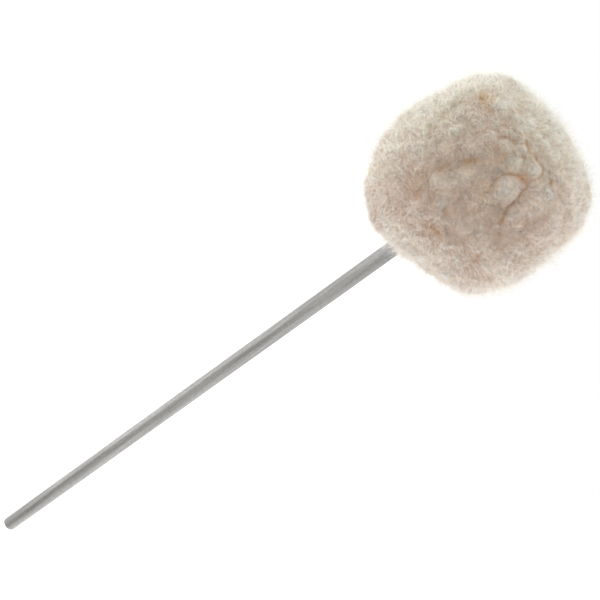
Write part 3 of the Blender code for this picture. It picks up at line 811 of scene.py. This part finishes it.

# %% [markdown]
# ## Wool
#
# Wool is pale at its tips. Its creases are painted deeper and browner, as painted shade, its partings
# and some patches browner, partly stains and partly painted shade, and the tops of some tufts paler, as
# painted highlight. The fleece carries that as attributes, so the colour follows the creases whatever the
# light does, and noise gives the rest: warm and cool areas a few centimetres wide, and the speckle of
# single fibres. Sheen is the soft glow at the edges.

# %% Wool material
# The shades of wool, and how much of each the creases (painted shade), the brown marks (stains and
# painted shade) and the pale tufts (painted highlight) take at most
CREAM = (0.90, 0.98, 0.87)
YELLOWED = (0.84, 0.87, 0.75)
PALE = (0.88, 0.755, 0.645)
ROSY = (0.775, 0.56, 0.44)
DEEP = (0.52, 0.33, 0.21)
BROWN = (0.66, 0.37, 0.15)
TUFT_HIGHLIGHT = (0.94, 0.90, 0.84)
GOLDEN = (0.80, 0.66, 0.44)
GOLDEN_SHARE = 0.32
TUFT_HIGHLIGHT_SHARE = 0.4
DEEP_SHARE = 0.7
DEEP_POWER = 2.2
BROWN_SHARE = 0.85
DRIFT_TINT = (0.93, 1.0, 0.98)
DRIFT_FROM = -12.0 * MM
DRIFT_REACH = 34.0 * MM
DRIFT_TOWARDS = turn @ Vector((0.3, 1.0, 0.0)).normalized()


def attribute(tree, name):
    return tree.add("ShaderNodeAttribute", {"attribute_name": name, "attribute_type": "GEOMETRY"}, out=2)


def wool(name, tip, bump_height, softness, unlike):
    """Wool between two shades, paler at its tips and yellowed here and there, with painted shade in its
    creases and partings and painted highlight on some tufts.
    """
    made, tree, shader = finish(
        name, Roughness=0.95, Specular_IOR_Level=0.15, Sheen_Weight=0.2, Sheen_Roughness=0.5,
        Subsurface_Weight=1.0, Subsurface_Radius=(1.0, 0.8, 0.65), Subsurface_Scale=softness,
    )
    place = object_place(tree)
    areas = spots(tree, place, 38.0, 2.0)
    specks = spots(tree, place, 1100.0, 5.0, 0.75)
    golds = spots(tree, tree.vector("ADD", place, (3.1, 1.7, 0.4)), 75.0, 2.0)
    colour = tree.mix((areas - 0.34) * 2.4, PALE, ROSY)
    layers = [((specks - 0.42) * 1.2, ROSY), (((golds - 0.54) * 3.0).math("MINIMUM", GOLDEN_SHARE), GOLDEN)]
    if tip:
        layers.append((attribute(tree, "along") * 0.5 + 0.5, tip))
    # The tone of single fibres, then painted highlight on pale tufts, painted shade in the creases, and
    # brown that is partly stains and partly painted shade
    layers += [
        (attribute(tree, "tone") * unlike, DEEP), (attribute(tree, "pale") * TUFT_HIGHLIGHT_SHARE, TUFT_HIGHLIGHT),
        (attribute(tree, "crease") ** DEEP_POWER * DEEP_SHARE, DEEP),
        (attribute(tree, "brown") * BROWN_SHARE, BROWN),
    ]
    for share, shade in layers:
        colour = tree.mix(share, colour, shade)
    # Painted light: the wool is tinted a little cooler on the side towards the camera's up, the light's
    # tint there
    from_middle = tree.vector("SUBTRACT", place, tuple(head_middle))
    drift = tree.vector("DOT_PRODUCT", from_middle, tuple(DRIFT_TOWARDS))
    colour = tree.mix((drift - DRIFT_FROM) / DRIFT_REACH, colour, DRIFT_TINT, "MULTIPLY")
    tree.feed(shader.inputs["Base Color"], colour)
    if bump_height:
        bump = tree.add("ShaderNodeBump", None, Strength=0.6, Distance=bump_height, Height=specks)
        tree.feed(shader.inputs["Normal"], bump)
    return made


fleece_wool = wool("fleece_wool", None, 0.6 * MM, 0.3 * MM, 0.0)
mat_wool = wool("mat_wool", None, 0.0, 0.8 * MM, 0.4)
curly_wool = wool("curly_wool", YELLOWED, 0.0, 0.8 * MM, 0.2)
loose_wool = wool("loose_wool", CREAM, 0.0, 0.8 * MM, 0.22)
for piece in (fleece_side, fleece_crown):
    piece.data.materials.append(fleece_wool)

# %% [markdown]
# ## Fibres
#
# Shorn wool is a mat of crimped fibres that lie over each other, more along the skin than away from it.
# Each one here is a line: it starts at a root, runs along the fleece in its own direction, wanders as it
# goes, and is set back on the fleece at every point, so it follows the tufts and dips into the creases.
# It leans up its tuft, it gathers a little with its neighbours, and it stays shorter and tight in the
# creases and on the tufts whose tops are painted paler as highlight. A mat fibre rises and comes down
# again like a loop. A loose one ends in the air, and makes the soft outline. Geometry Nodes sweep a
# triangle along each line, thinning to its tip, with few faces, since there are so many.

# %% Geometry Nodes for fibres
# How a fibre's length and rise vary, as shares of its own, and with what
LENGTHS = (0.55, 1.3)
LEAST_RISE = 0.25
MORE_RISE = 1.5
RISE_POWER = 1.5
SHAG = 0.78
SHAG_CHANGE = 1.4
SHAG_SCALE = 55.0
TIGHT_IF_PALE = 0.45
TIGHT_IN_CREASE = 0.25
# How it runs: with a coarse noise that its neighbours share, up its tuft, in waves and towards its lock
FLOW_SCALE = 70.0
FLOW_STRENGTH = 3.0
UP_THE_TUFT = 0.8
WAVES_ALONG = 2.6
CLUMP_SCALE = 330.0
# Large enough for two roots side by side to read the noise at unlike places
SCATTER = 9000.0
WAVE_SCATTER = 5000.0
TIP_THINNER = 0.7
CLEAR_OF_SKIN = 0.25
# How large a fibre's speck of the map is, and how far all specks stay from the map's edges
SPECK = 0.002
U_MARGIN = 0.01
V_MARGIN = 0.05


def group(name, **labels):
    """An empty Geometry Nodes group, with a geometry to work on and inputs of each kind."""
    made = bpy.data.node_groups.new(name, "GeometryNodeTree")
    for kind, words in {"Geometry": "Geometry", **labels}.items():
        for label in words.split():
            made.interface.new_socket(label, in_out="INPUT", socket_type="NodeSocket" + kind)
    made.interface.new_socket("Geometry", in_out="OUTPUT", socket_type="NodeSocketGeometry")
    return made


def run(piece, made, **sizes):
    """Runs a group on a copy of a piece and gives back the result as a plain mesh object."""
    result = placed(sizes.pop("name"), piece.data)
    modifier = result.modifiers.new(made.name, "NODES")
    modifier.node_group = made
    sockets = {item.name: item.identifier for item in made.interface.items_tree if item.in_out == "INPUT"}
    for label, value in sizes.items():
        modifier[sockets[label]] = value
    return settled(result)


def position(tree):
    return tree.add("GeometryNodeInputPosition")


def named(tree, name, kind="FLOAT"):
    return tree.add("GeometryNodeInputNamedAttribute", {"data_type": kind}, name)


def stored(tree, geometry, name, value, kind="FLOAT", domain="POINT"):
    settings = {"data_type": kind, "domain": domain}
    return tree.add("GeometryNodeStoreNamedAttribute", settings, geometry, True, name, value)


def random_value(tree, low, high, seed):
    return tree.add("FunctionNodeRandomValue", {"data_type": "FLOAT"}, low, high, Seed=seed)


def on_surface(tree, surface, value, place, kind):
    """What a surface holds at its point that lies nearest to a place."""
    return tree.add(
        "GeometryNodeSampleNearestSurface", {"data_type": kind},
        Mesh=surface, Value=value, Sample_Position=place,
    )


def outside_tree():
    """Joins the outer skins of two fleeces into one surface, for fibres to lie on across the seam."""
    made = group("outside", Object="Other")
    tree = Tree(made)
    first, other = tree.add("NodeGroupInput", None, out="all")[:2]
    second = tree.add("GeometryNodeObjectInfo", {"transform_space": "ORIGINAL"}, other, out=4)
    both = made.nodes.new("GeometryNodeJoinGeometry")
    for part in (first, second):
        tree.feed(both.inputs[0], part)
    kept = tree.add("GeometryNodeSeparateGeometry", {"domain": "POINT"}, Value(tree, both.outputs[0]),
                    named(tree, "pile"))
    tree.add("NodeGroupOutput", None, tree.add("GeometryNodeRealizeInstances", Geometry=kept))
    return made


def fibre_tree():
    made = group("fibres", Float="Density Length Width Crimp Clump Flow Lift Loop Upwards Round",
                 Int="Sectors Sector Seed Points", Material="Wool", Object="Whole")
    tree = Tree(made)
    (skin, density, length, width, crimp, clump, flow, lift, loop, upwards, round_about, sectors, sector,
     seed, count, wool_input, whole_input) = tree.add("NodeGroupInput", None, out="all")[:17]
    whole = tree.add("GeometryNodeObjectInfo", {"transform_space": "ORIGINAL"}, whole_input, out=4)
    # Roots, on the outside only, and only in this sector of the head
    x, y, _ = tree.add("ShaderNodeSeparateXYZ", None, position(tree), out="all")
    slice_at = ((y.math("ARCTAN2", x) / tau + 0.5) * sectors).math("FLOOR")
    mine = tree.add("FunctionNodeCompare", {"data_type": "FLOAT", "operation": "EQUAL"}, slice_at, sector)
    outside = tree.add("GeometryNodeSeparateGeometry", {"domain": "POINT"}, skin, named(tree, "pile"))
    points, normal, upright = tree.add(
        "GeometryNodeDistributePointsOnFaces", {"distribute_method": "RANDOM"}, out="all",
        Mesh=outside, Selection=mine, Density=density, Seed=seed,
    )
    points = stored(tree, points, "root", position(tree), "FLOAT_VECTOR")
    points = stored(tree, points, "out", normal, "FLOAT_VECTOR")
    points = stored(tree, points, "reach", length * random_value(tree, *LENGTHS, seed))
    patches = tree.add("ShaderNodeTexNoise", None, Vector=position(tree), Scale=SHAG_SCALE, Detail=1.0)
    shag = SHAG + (patches - 0.3) * SHAG_CHANGE
    tight = 1.0 - named(tree, "pale") * TIGHT_IF_PALE - named(tree, "crease") * TIGHT_IN_CREASE
    share = LEAST_RISE + random_value(tree, 0.0, 1.0, seed + 1) ** RISE_POWER * MORE_RISE
    points = stored(tree, points, "rise", lift * share * shag * tight)
    points = stored(tree, points, "tone", random_value(tree, 0.0, 1.0, seed + 2) ** 2)
    # A straight line on each root
    line = tree.add("GeometryNodeCurvePrimitiveLine", {"mode": "POINTS"}, (0.0, 0.0, 0.0), (0.0, 0.0, MM))
    line = tree.add("GeometryNodeResampleCurve", None, line, True, count)
    lines = tree.add("GeometryNodeInstanceOnPoints", Points=points, Instance=line, Rotation=upright)
    lines = tree.add("GeometryNodeRealizeInstances", Geometry=lines)
    # Where each point goes, by how far along its line it is
    along = tree.add("GeometryNodeSplineParameter")
    root, out = named(tree, "root", "FLOAT_VECTOR"), named(tree, "out", "FLOAT_VECTOR")
    own = tree.add(
        "ShaderNodeTexWhiteNoise", {"noise_dimensions": "3D"}, out=1, Vector=tree.scaled(root, SCATTER),
    )
    shared = shoves(tree, root, FLOW_SCALE)
    uphill = tree.vector("SUBTRACT", named(tree, "plain", "FLOAT_VECTOR"), out)
    up = (0.0, 0.0, 1.0)
    level = tree.vector("CROSS_PRODUCT", out, up)
    aim = tree.scaled(centred(tree, own), 1.0 - flow)
    pulls = ((shared, flow * FLOW_STRENGTH), (uphill, UP_THE_TUFT), (up, upwards), (level, round_about))
    for part, weight in pulls:
        aim = tree.vector("ADD", aim, tree.scaled(part, weight))
    aim = tree.vector("SUBTRACT", aim, tree.scaled(out, tree.vector("DOT_PRODUCT", aim, out)))
    aim = tree.scaled(tree.vector("NORMALIZE", aim), along * named(tree, "reach"))
    wave = tree.add(
        "ShaderNodeTexNoise", {"noise_dimensions": "4D"}, out=1,
        Vector=tree.scaled(root, WAVE_SCATTER), W=along * WAVES_ALONG, Scale=1.0, Detail=0.0,
    )
    wave = tree.scaled(centred(tree, wave), along.math("SQRT") * crimp)
    centre = tree.add("ShaderNodeTexVoronoi", None, out=2, Vector=root, Scale=CLUMP_SCALE)
    gather = tree.scaled(tree.vector("SUBTRACT", centre, root), along * clump)
    place = root
    for part in (aim, wave, gather):
        place = tree.vector("ADD", place, part)
    # Back onto the fleece, then up by the fibre's own rise
    near = tree.add(
        "GeometryNodeProximity", {"target_element": "FACES"}, Geometry=whole, Sample_Position=place,
    )
    facing = on_surface(tree, whole, tree.add("GeometryNodeInputNormal"), place, "FLOAT_VECTOR")
    arch = (along * pi).math("SINE")
    height = named(tree, "rise") * (along * (1.0 - loop) + arch * loop) + width * CLEAR_OF_SKIN
    place = tree.vector("ADD", near, tree.scaled(tree.vector("NORMALIZE", facing), height))
    lines = tree.add("GeometryNodeSetPosition", Geometry=lines, Position=place)
    lines = stored(tree, lines, "along", along)
    for shade in ("crease", "brown", "pale"):
        here = on_surface(tree, whole, named(tree, shade), position(tree), "FLOAT")
        lines = stored(tree, lines, shade, here)
    # Sweep a triangle along it, thinning to the tip
    ring = tree.add("GeometryNodeCurvePrimitiveCircle", {"mode": "RADIUS"}, Resolution=3, Radius=1.0)
    ring = stored(tree, ring, "around", tree.add("GeometryNodeSplineParameter"))
    taper = width * 0.5 * (1.0 - along ** 2 * TIP_THINNER)
    tubes = tree.add("GeometryNodeCurveToMesh", None, lines, ring, taper, True)
    # Each fibre has its own speck of the map, at its root's place, clear of the map's edges
    x, y, z = tree.add("ShaderNodeSeparateXYZ", None, root, out="all")
    u = y.math("ARCTAN2", x) / tau + 0.5 + named(tree, "along") * SPECK
    v = (z - (middle - below)) / (above + below) + named(tree, "around") * SPECK
    u, v = (share * (1 - 2 * margin) + margin for share, margin in ((u, U_MARGIN), (v, V_MARGIN)))
    chart = tree.add("ShaderNodeCombineXYZ", None, u, v, 0.0)
    tubes = stored(tree, tubes, "OFBake", chart, "FLOAT2", "CORNER")
    tubes = tree.add("GeometryNodeSetShadeSmooth", Geometry=tubes)
    tubes = tree.add("GeometryNodeRealizeInstances", Geometry=tubes)
    tubes = tree.add("GeometryNodeSetMaterial", Geometry=tubes, Material=wool_input)
    tree.add("NodeGroupOutput", None, tubes)
    return made


whole_fleece = run(fleece_side, outside_tree(), name="whole_fleece", Other=fleece_crown)
print("one surface of", len(whole_fleece.data.polygons), "faces")
fibres_group = fibre_tree()
print("fibres group has", len(fibres_group.nodes), "nodes")

# %% Fibres of the side and the crown
PER_MM2 = 1.0e6
MAT = {
    "Density": 1.3 * PER_MM2, "Length": 2.5 * MM, "Width": 0.15 * MM, "Crimp": 2.6 * MM, "Clump": 0.15,
    "Flow": 0.2, "Lift": 0.45 * MM, "Loop": 0.6, "Points": 4, "Wool": mat_wool,
}
CURLS = {
    "Density": 0.5 * PER_MM2, "Length": 2.3 * MM, "Width": 0.11 * MM, "Crimp": 3.8 * MM, "Clump": 0.25,
    "Flow": 0.1, "Lift": 1.1 * MM, "Loop": 0.7, "Points": 5, "Wool": curly_wool,
}
LOOSE = {
    "Density": 1.85 * PER_MM2, "Length": 2.4 * MM, "Width": 0.065 * MM, "Crimp": 3.2 * MM,
    "Clump": 0.15, "Flow": 0.2, "Lift": 3.3 * MM, "Loop": 0.0, "Points": 4, "Wool": loose_wool,
}
WISPS = {
    "Density": 0.08 * PER_MM2, "Length": 5.5 * MM, "Width": 0.07 * MM, "Crimp": 7.0 * MM, "Clump": 0.0,
    "Flow": 0.6, "Lift": 5.0 * MM, "Loop": 0.0, "Points": 9, "Wool": loose_wool,
}

# Which way the pile was combed: towards the crown on the side, and round the crown on top
SIDE = (fleece_side, {"Upwards": 0.1, "Round": 0.0})
CROWN = (fleece_crown, {"Upwards": 0.0, "Round": 0.1})
# Each growth has its fleece, its name, in how many sectors it is made, its sizes and its seed
GROWTHS = [
    (SIDE, "side_mat", 6, MAT, 3), (CROWN, "crown_mat", 2, MAT, 4),
    (SIDE, "side_curls", 2, CURLS, 10), (CROWN, "crown_curls", 1, CURLS, 11),
    (SIDE, "side_loose_fibres", 4, LOOSE, 5), (CROWN, "crown_loose_fibres", 2, LOOSE, 6),
    (SIDE, "side_wisps", 1, WISPS, 8), (CROWN, "crown_wisps", 1, WISPS, 9),
]

fibre_pieces = []
for (skin, combing), label, sectors, sizes, seed in GROWTHS:
    for sector in range(sectors):
        grown = run(skin, fibres_group, name=f"{label}_{sector + 1}", Sectors=sectors, Sector=sector,
                    Seed=seed, Whole=whole_fleece, **combing, **sizes)
        fibre_pieces.append(grown)
        grown.data.calc_loop_triangles()
        print(grown.name, len(grown.data.loop_triangles), "triangles")

# %% Strands that lie across the wool
# Each has the pixels that it passes. Its ends stand further off the wool, and it thins towards the last
STRAND_LIFT = 0.9 * MM
STRAND_END_LIFT = 1.6
STRAND_WIDTH = 0.2 * MM
STRAND_TIP = 0.3
STRANDS = [
    [(536, 254), (543, 254), (551, 254), (559, 251), (565, 248)],
    [(533, 257), (541, 257), (549, 257), (556, 256)],
    [(540, 250), (549, 250), (558, 247)],
    [(482, 263), (489, 270), (496, 274), (503, 276), (511, 274)],
    [(470, 277), (477, 280), (486, 281), (494, 279)],
    [(437, 273), (444, 276), (452, 277), (459, 275)],
    [(441, 269), (449, 271), (456, 270)],
    [(402, 196), (406, 203), (413, 208)],
    [(424, 141), (431, 136), (440, 133), (448, 134)],
    [(448, 100), (456, 97), (464, 97), (471, 101)],
    [(388, 165), (393, 158), (400, 153)],
    [(511, 79), (518, 83), (524, 89)],
    [(545, 222), (552, 227), (561, 229), (569, 226)],
    [(515, 262), (522, 265), (531, 265)],
]


def meshed(name, curve):
    """A plain mesh object in the shape of a curve."""
    drawn = bpy.data.objects.new(name, curve)
    mesh = bpy.data.meshes.new_from_object(drawn)
    bpy.data.objects.remove(drawn)
    mesh.shade_smooth()
    return placed(name, mesh)


def round_curve(name, radius):
    """An empty curve that becomes a tube."""
    curve = bpy.data.curves.new(name, "CURVE")
    curve.dimensions = "3D"
    curve.bevel_depth = radius
    return curve


def strands(name):
    """Thin tubes laid on the wool along lines of the picture."""
    surface = ray_target(whole_fleece.data)
    curve = round_curve(name, STRAND_WIDTH / 2)
    curve.resolution_u = 4
    for pixels in STRANDS:
        line = curve.splines.new("NURBS")
        line.points.add(len(pixels) - 1)
        line.use_endpoint_u = True
        line.order_u = 3
        for i, pixel in enumerate(pixels):
            direction = sight_line(pixel)
            place, normal = surface.ray_cast(camera.location, direction)[:2]
            if place is None:
                place = camera.location + direction * (head_middle - camera.location).dot(direction)
                normal = (place - head_middle).normalized()
            share = i / (len(pixels) - 1)
            lift = STRAND_LIFT * (0.5 + STRAND_END_LIFT * abs(share - 0.5))
            line.points[i].co = (*(place + normal * lift), 1.0)
            line.points[i].radius = 1.0 - (1.0 - STRAND_TIP) * share
    made = meshed(name, curve)
    made.data.materials.append(loose_wool)
    print(name, "has", len(STRANDS), "strands")
    return made


fibre_pieces.append(strands("placed_strands"))
bpy.data.objects.remove(whole_fleece)

# %% [markdown]
# ## Under the wool
#
# The maker's own layers come next: felt round the core, the leather side of the sheepskin gathered into
# the neck, and the thread of its seam. They replace the plain solids of the frame in the same places,
# with what those leave out: felt that isn't quite even, leather puckered where it is sewn, and threads
# twisted from plies.

# %% Finishes under the wool


def zinc_plated():
    made, tree, shader = finish("zinc_plated", Metallic=1.0)
    place = object_place(tree)
    clouds = spots(tree, place, 260.0, 4.0)
    stops = [(0.35, (0.52, 0.54, 0.58)), (0.5, (0.62, 0.62, 0.6)), (0.68, (0.66, 0.62, 0.5))]
    colour = tree.add("ShaderNodeValToRGB", {"stops": stops}, clouds)
    vary(tree, shader, colour, 0.28 + clouds * 0.3, spots(tree, place, 3000.0, 3.0), 0.01 * MM, 0.3)
    return made


def turned_wood():
    """Straight grain along Z, growth rings about a heart beside the core, and fine turning marks."""
    made, tree, shader = finish("turned_wood")
    place = object_place(tree, (1.0, 1.0, 0.12))
    off_heart = tree.vector("ADD", place, (0.03, 0.014, 0.0))
    bent = tree.vector("ADD", off_heart, tree.scaled(shoves(tree, place, 60.0), 0.0035))
    x, y, _ = tree.add("ShaderNodeSeparateXYZ", None, bent, out="all")
    late = ((x * x + y * y).math("SQRT") * 480.0).math("FRACT") ** 3.0
    pores = spots(tree, object_place(tree, (1.0, 1.0, 0.06)), 1500.0, 2.0)
    colour = tree.mix(late * 0.7, (0.60, 0.42, 0.25), (0.40, 0.24, 0.12))
    colour = tree.mix((pores - 0.56) * 3.0, colour, (0.25, 0.14, 0.07))
    turning = (height_of(tree) * 9000.0).math("SINE")
    vary(tree, shader, colour, 0.62 - late * 0.15, turning * 0.3 - pores, 0.02 * MM, 0.35)
    return made


def pressed_felt():
    made, tree, shader = finish("pressed_felt", Sheen_Weight=0.3)
    place = object_place(tree)
    bent = tree.vector("ADD", place, tree.scaled(shoves(tree, place, 300.0), 0.003))
    hairs = spots(tree, bent, 1300.0, 4.0, 0.7)
    clouds = spots(tree, place, 120.0)
    colour = tree.mix((hairs - 0.35) * 2.2, (0.47, 0.44, 0.39), (0.68, 0.66, 0.61))
    colour = tree.mix((clouds - 0.45) * 1.5, colour, (0.52, 0.50, 0.46))
    vary(tree, shader, colour, 0.85 + hairs * 0.15, hairs, 0.15 * MM, 0.8)
    return made


def suede():
    """The flesh side of the sheepskin: a short nap in clouds, over a net of fine grain."""
    made, tree, shader = finish("suede", Sheen_Weight=0.25)
    place = object_place(tree)
    nap = spots(tree, place, 90.0, 4.0, 0.7)
    grain = tree.add("ShaderNodeTexVoronoi", {"feature": "DISTANCE_TO_EDGE"}, Vector=place, Scale=1100.0)
    colour = tree.mix((nap - 0.35) * 2.0, (0.47, 0.35, 0.23), (0.70, 0.58, 0.43))
    colour = tree.mix(0.4 - grain * 1.2, colour, (0.40, 0.29, 0.18))
    vary(tree, shader, colour, 0.78 + nap * 0.2, grain + nap * 0.4, 0.08 * MM, 0.5)
    return made


def waxed_thread():
    made, tree, shader = finish("waxed_thread")
    place = object_place(tree)
    fuzz = spots(tree, place, 4200.0, 3.0, 0.7)
    colour = tree.mix((fuzz - 0.35) * 2.0, (0.56, 0.49, 0.37), (0.80, 0.75, 0.63))
    vary(tree, shader, colour, 0.45 + spots(tree, place, 500.0) * 0.3, fuzz, 0.04 * MM, 0.5)
    return made


zinc = zinc_plated()
for name in ("lower_nut", "lower_washer", "upper_washer", "lock_washer", "upper_nut"):
    dress(name, zinc)
dress("core", turned_wood())

# %% Felt
HIDE_WALL = 1.2 * MM
PLEATS = 8
PLEAT_DEPTH = 0.4 * MM
NECK_BEND = 0.5 * MM
FELT_HOLE_CLEARANCE = 1.0 * MM
FELT_STEP = 1.2 * MM
FELT_LUMPS = 2.2 * MM
FELT_UNEVEN = 0.1 * MM
INNER_ROUND_STEPS = 192
felt_in = CORE_EDGE_RADIUS + FIT
felt_out = leather - HIDE_WALL - FIT
hide_in = leather - HIDE_WALL


def shift_along_normals(mesh, amount):
    """Moves each point along its normal by what amount() says of it."""
    shifts = [vert.normal * amount(vert.co) for vert in mesh.vertices]
    for vert, shift in zip(mesh.vertices, shifts):
        vert.co += shift
    mesh.update()


def finished(piece, made):
    piece.data.materials.clear()
    piece.data.materials.append(made)
    print(piece.name, "has", len(piece.data.polygons), "faces")
    return piece


felt_split = edge_z - FIT / 2
felt_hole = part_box("lower_washer")[1].x + FELT_HOLE_CLEARANCE
sleeve_line = [
    (edge_r + felt_out, felt_split),
    *arc(-edge_z, felt_out, 0, -90, 16),
    (felt_hole, -edge_z - felt_out),
    (felt_hole, -edge_z - felt_in),
    *arc(-edge_z, felt_in, -90, 0, 12),
    (edge_r + felt_in, felt_split),
    (edge_r + felt_out, felt_split),
]
cap_line = [
    (0, edge_z + felt_out),
    *arc(edge_z, felt_out, 90, 0, 16),
    (edge_r + felt_out, felt_split + FIT),
    (edge_r + felt_in, felt_split + FIT),
    *arc(edge_z, felt_in, 0, 90, 12),
    (0, edge_z + felt_in),
]
felt = pressed_felt()
soft_felt_sleeve = turned("soft_felt_sleeve", even(sleeve_line, FELT_STEP)[:-1], True, INNER_ROUND_STEPS)
soft_felt_cap = turned("soft_felt_cap", even(cap_line, FELT_STEP), False, INNER_ROUND_STEPS)
for piece in (soft_felt_sleeve, soft_felt_cap):
    shift_along_normals(piece.data, lambda co: noise.noise(co / FELT_LUMPS) * FELT_UNEVEN)
    finished(piece, felt)

# %% Leather
SEAM_STITCHES = 24
PUCKER_DEPTH = 0.14 * MM
PUCKER_REACH = 2.2 * MM
LEATHER_STEP = 1.0 * MM
GATHER_STEPS = 24


def gather_line():
    """The leather's inner line, from under the base's edge in to the floor under the nut."""
    floor_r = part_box("lower_nut")[1].y + FIT + NECK_BEND
    middle_r, base_z = (edge_r + floor_r) / 2, -edge_z - hide_in
    knots = [Vector((edge_r, base_z)), Vector((middle_r, base_z)), Vector((middle_r, floor_z)),
             Vector((floor_r, floor_z))]
    return [tuple(p) for p in interpolate_bezier(*knots, GATHER_STEPS)]


def puckered(piece):
    """Gathers the leather at the neck, and draws it in beside each stitch of the seam."""
    first = piece.data.vertices[0]
    if first.normal.dot(first.co - head_middle) < 0:
        piece.data.flip_normals()
    nut_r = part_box("lower_nut")[1].y

    def amount(co):
        r, z, angle = co.xy.length, co.z - middle, np.arctan2(co.y, co.x)
        if z < -edge_z:
            full = PLEAT_DEPTH * min(1.0, max(0.0, (edge_r - r) / (edge_r - nut_r)))
            return full * cos(PLEATS * angle)
        if z > 0:
            away = (np.arctan2(z - edge_z, r - edge_r) - radians(SEAM_ANGLE)) * hide_in
            stitch = 0.5 + 0.5 * cos(2 * SEAM_STITCHES * angle + pi)
            return -PUCKER_DEPTH * stitch * np.exp(-(away / PUCKER_REACH) ** 2)
        return 0.0

    shift_along_normals(piece.data, amount)
    wall = piece.modifiers.new("wall", "SOLIDIFY")
    wall.thickness = HIDE_WALL
    wall.offset = 1.0
    return settled(piece)


floor_z = nut_z - FIT - PLEAT_DEPTH
neck_r = rod_r + FIT + PLEAT_DEPTH
bend_r = NECK_BEND + HIDE_WALL
half_gap = degrees(FIT / 2 / hide_in)
side_line = [
    *arc(edge_z, hide_in, SEAM_ANGLE - half_gap, 0, 12),
    *arc(-edge_z, hide_in, 0, -90, 20),
    *gather_line()[1:],
    *arc(floor_z - bend_r, bend_r, 90, 180, 6, neck_r + bend_r),
    (neck_r, cover_low.z - middle),
]
crown_line = [(0, edge_z + hide_in), *arc(edge_z, hide_in, 90, SEAM_ANGLE + half_gap, 16)]
hide = suede()
leather_side = turned("leather_side", even(side_line, LEATHER_STEP), False, INNER_ROUND_STEPS)
leather_crown = turned("leather_crown", even(crown_line, LEATHER_STEP), False, INNER_ROUND_STEPS)
for piece in (leather_side, leather_crown):
    finished(puckered(piece), hide)

# %% Threads
THREAD_WIDTH = 0.8 * MM
STITCH_REACH = 1.8 * MM
STITCH_DIP = 0.22 * MM
DIP_POWER = 8
TIE_WIDTH = 1.0 * MM
TIE_TURNS = 3
TIE_PITCH = 1.5 * MM
# How much of a thread's width one ply takes, by the number of plies
PLY_SHARES = {2: 0.52, 3: 0.5}


def seam_route(share):
    """To and fro across the seam, down into a needle hole at each turn."""
    side = sin(SEAM_STITCHES * tau * share)
    swing = degrees(STITCH_REACH / thread_centre)
    offset = thread_centre - STITCH_DIP * side ** DIP_POWER
    r, z = ring_point(edge_z, offset, SEAM_ANGLE + side * swing)
    return Vector((r * cos(tau * share), r * sin(tau * share), middle + z))


def tie_route(share):
    angle = tau * TIE_TURNS * share
    return Vector((tie_r * cos(angle), tie_r * sin(angle), tie_start + TIE_PITCH * TIE_TURNS * share))


def twisted(name, route, width, plies, twists, steps, closed):
    """A thread of plies twisted round a route, each ply an unbroken tube."""
    ply_r = width / 2 * PLY_SHARES[plies]
    lift = width / 2 - ply_r
    count = steps if closed else steps + 1
    middles = [route(i / steps) for i in range(count)]
    ends = middles[1:] + middles[:1] if closed else middles[1:]
    length = sum((b - a).length for a, b in zip(middles, ends))
    print(name, "is laid along a line of, mm:", round(length / MM))
    curve = round_curve(name, ply_r)
    curve.bevel_resolution = 1
    curve.use_fill_caps = True
    for ply in range(plies):
        line = curve.splines.new("POLY")
        line.points.add(count - 1)
        line.use_cyclic_u = closed
        for i, point in enumerate(middles):
            inside = closed or 0 < i < steps
            ahead = middles[(i + 1) % count] - middles[i - 1] if inside else Vector((0, 1, 0))
            out = (point - head_middle).normalized()
            across = ahead.cross(out).normalized()
            out = across.cross(ahead).normalized()
            turn_angle = tau * (ply / plies + twists * i / steps)
            line.points[i].co = (*(point + (out * cos(turn_angle) + across * sin(turn_angle)) * lift), 1.0)
    return meshed(name, curve)


thread_centre = leather + FIT + THREAD_WIDTH / 2
tie_r = neck_r + HIDE_WALL + PLEAT_DEPTH + FIT + TIE_WIDTH / 2
tie_start = cover_low.z + FIT + TIE_WIDTH / 2
waxed = waxed_thread()
twisted_seam = twisted("twisted_seam_thread", seam_route, THREAD_WIDTH, plies=2, twists=110, steps=1100,
                       closed=True)
twisted_tie = twisted("twisted_neck_tie", tie_route, TIE_WIDTH, plies=3, twists=44, steps=420, closed=False)
for piece in (twisted_seam, twisted_tie):
    finished(piece, waxed)

# %% Everything rides on the one body
for piece in (fleece_side, fleece_crown, *fibre_pieces):
    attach(piece, "root")
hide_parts("wool_side")
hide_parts("wool_crown")

inner_pieces = [
    (soft_felt_sleeve, "felt_sleeve", "felt"), (soft_felt_cap, "felt_cap", "felt"),
    (leather_side, "cover_side", "hide"), (leather_crown, "cover_crown", "hide"),
    (twisted_seam, "seam_thread", "cord"), (twisted_tie, "neck_tie", "cord"),
]
for piece, node, slot in inner_pieces:
    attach(piece, "root")
    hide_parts(node)

# %% Colour settings
scene.view_settings.view_transform = "Standard"
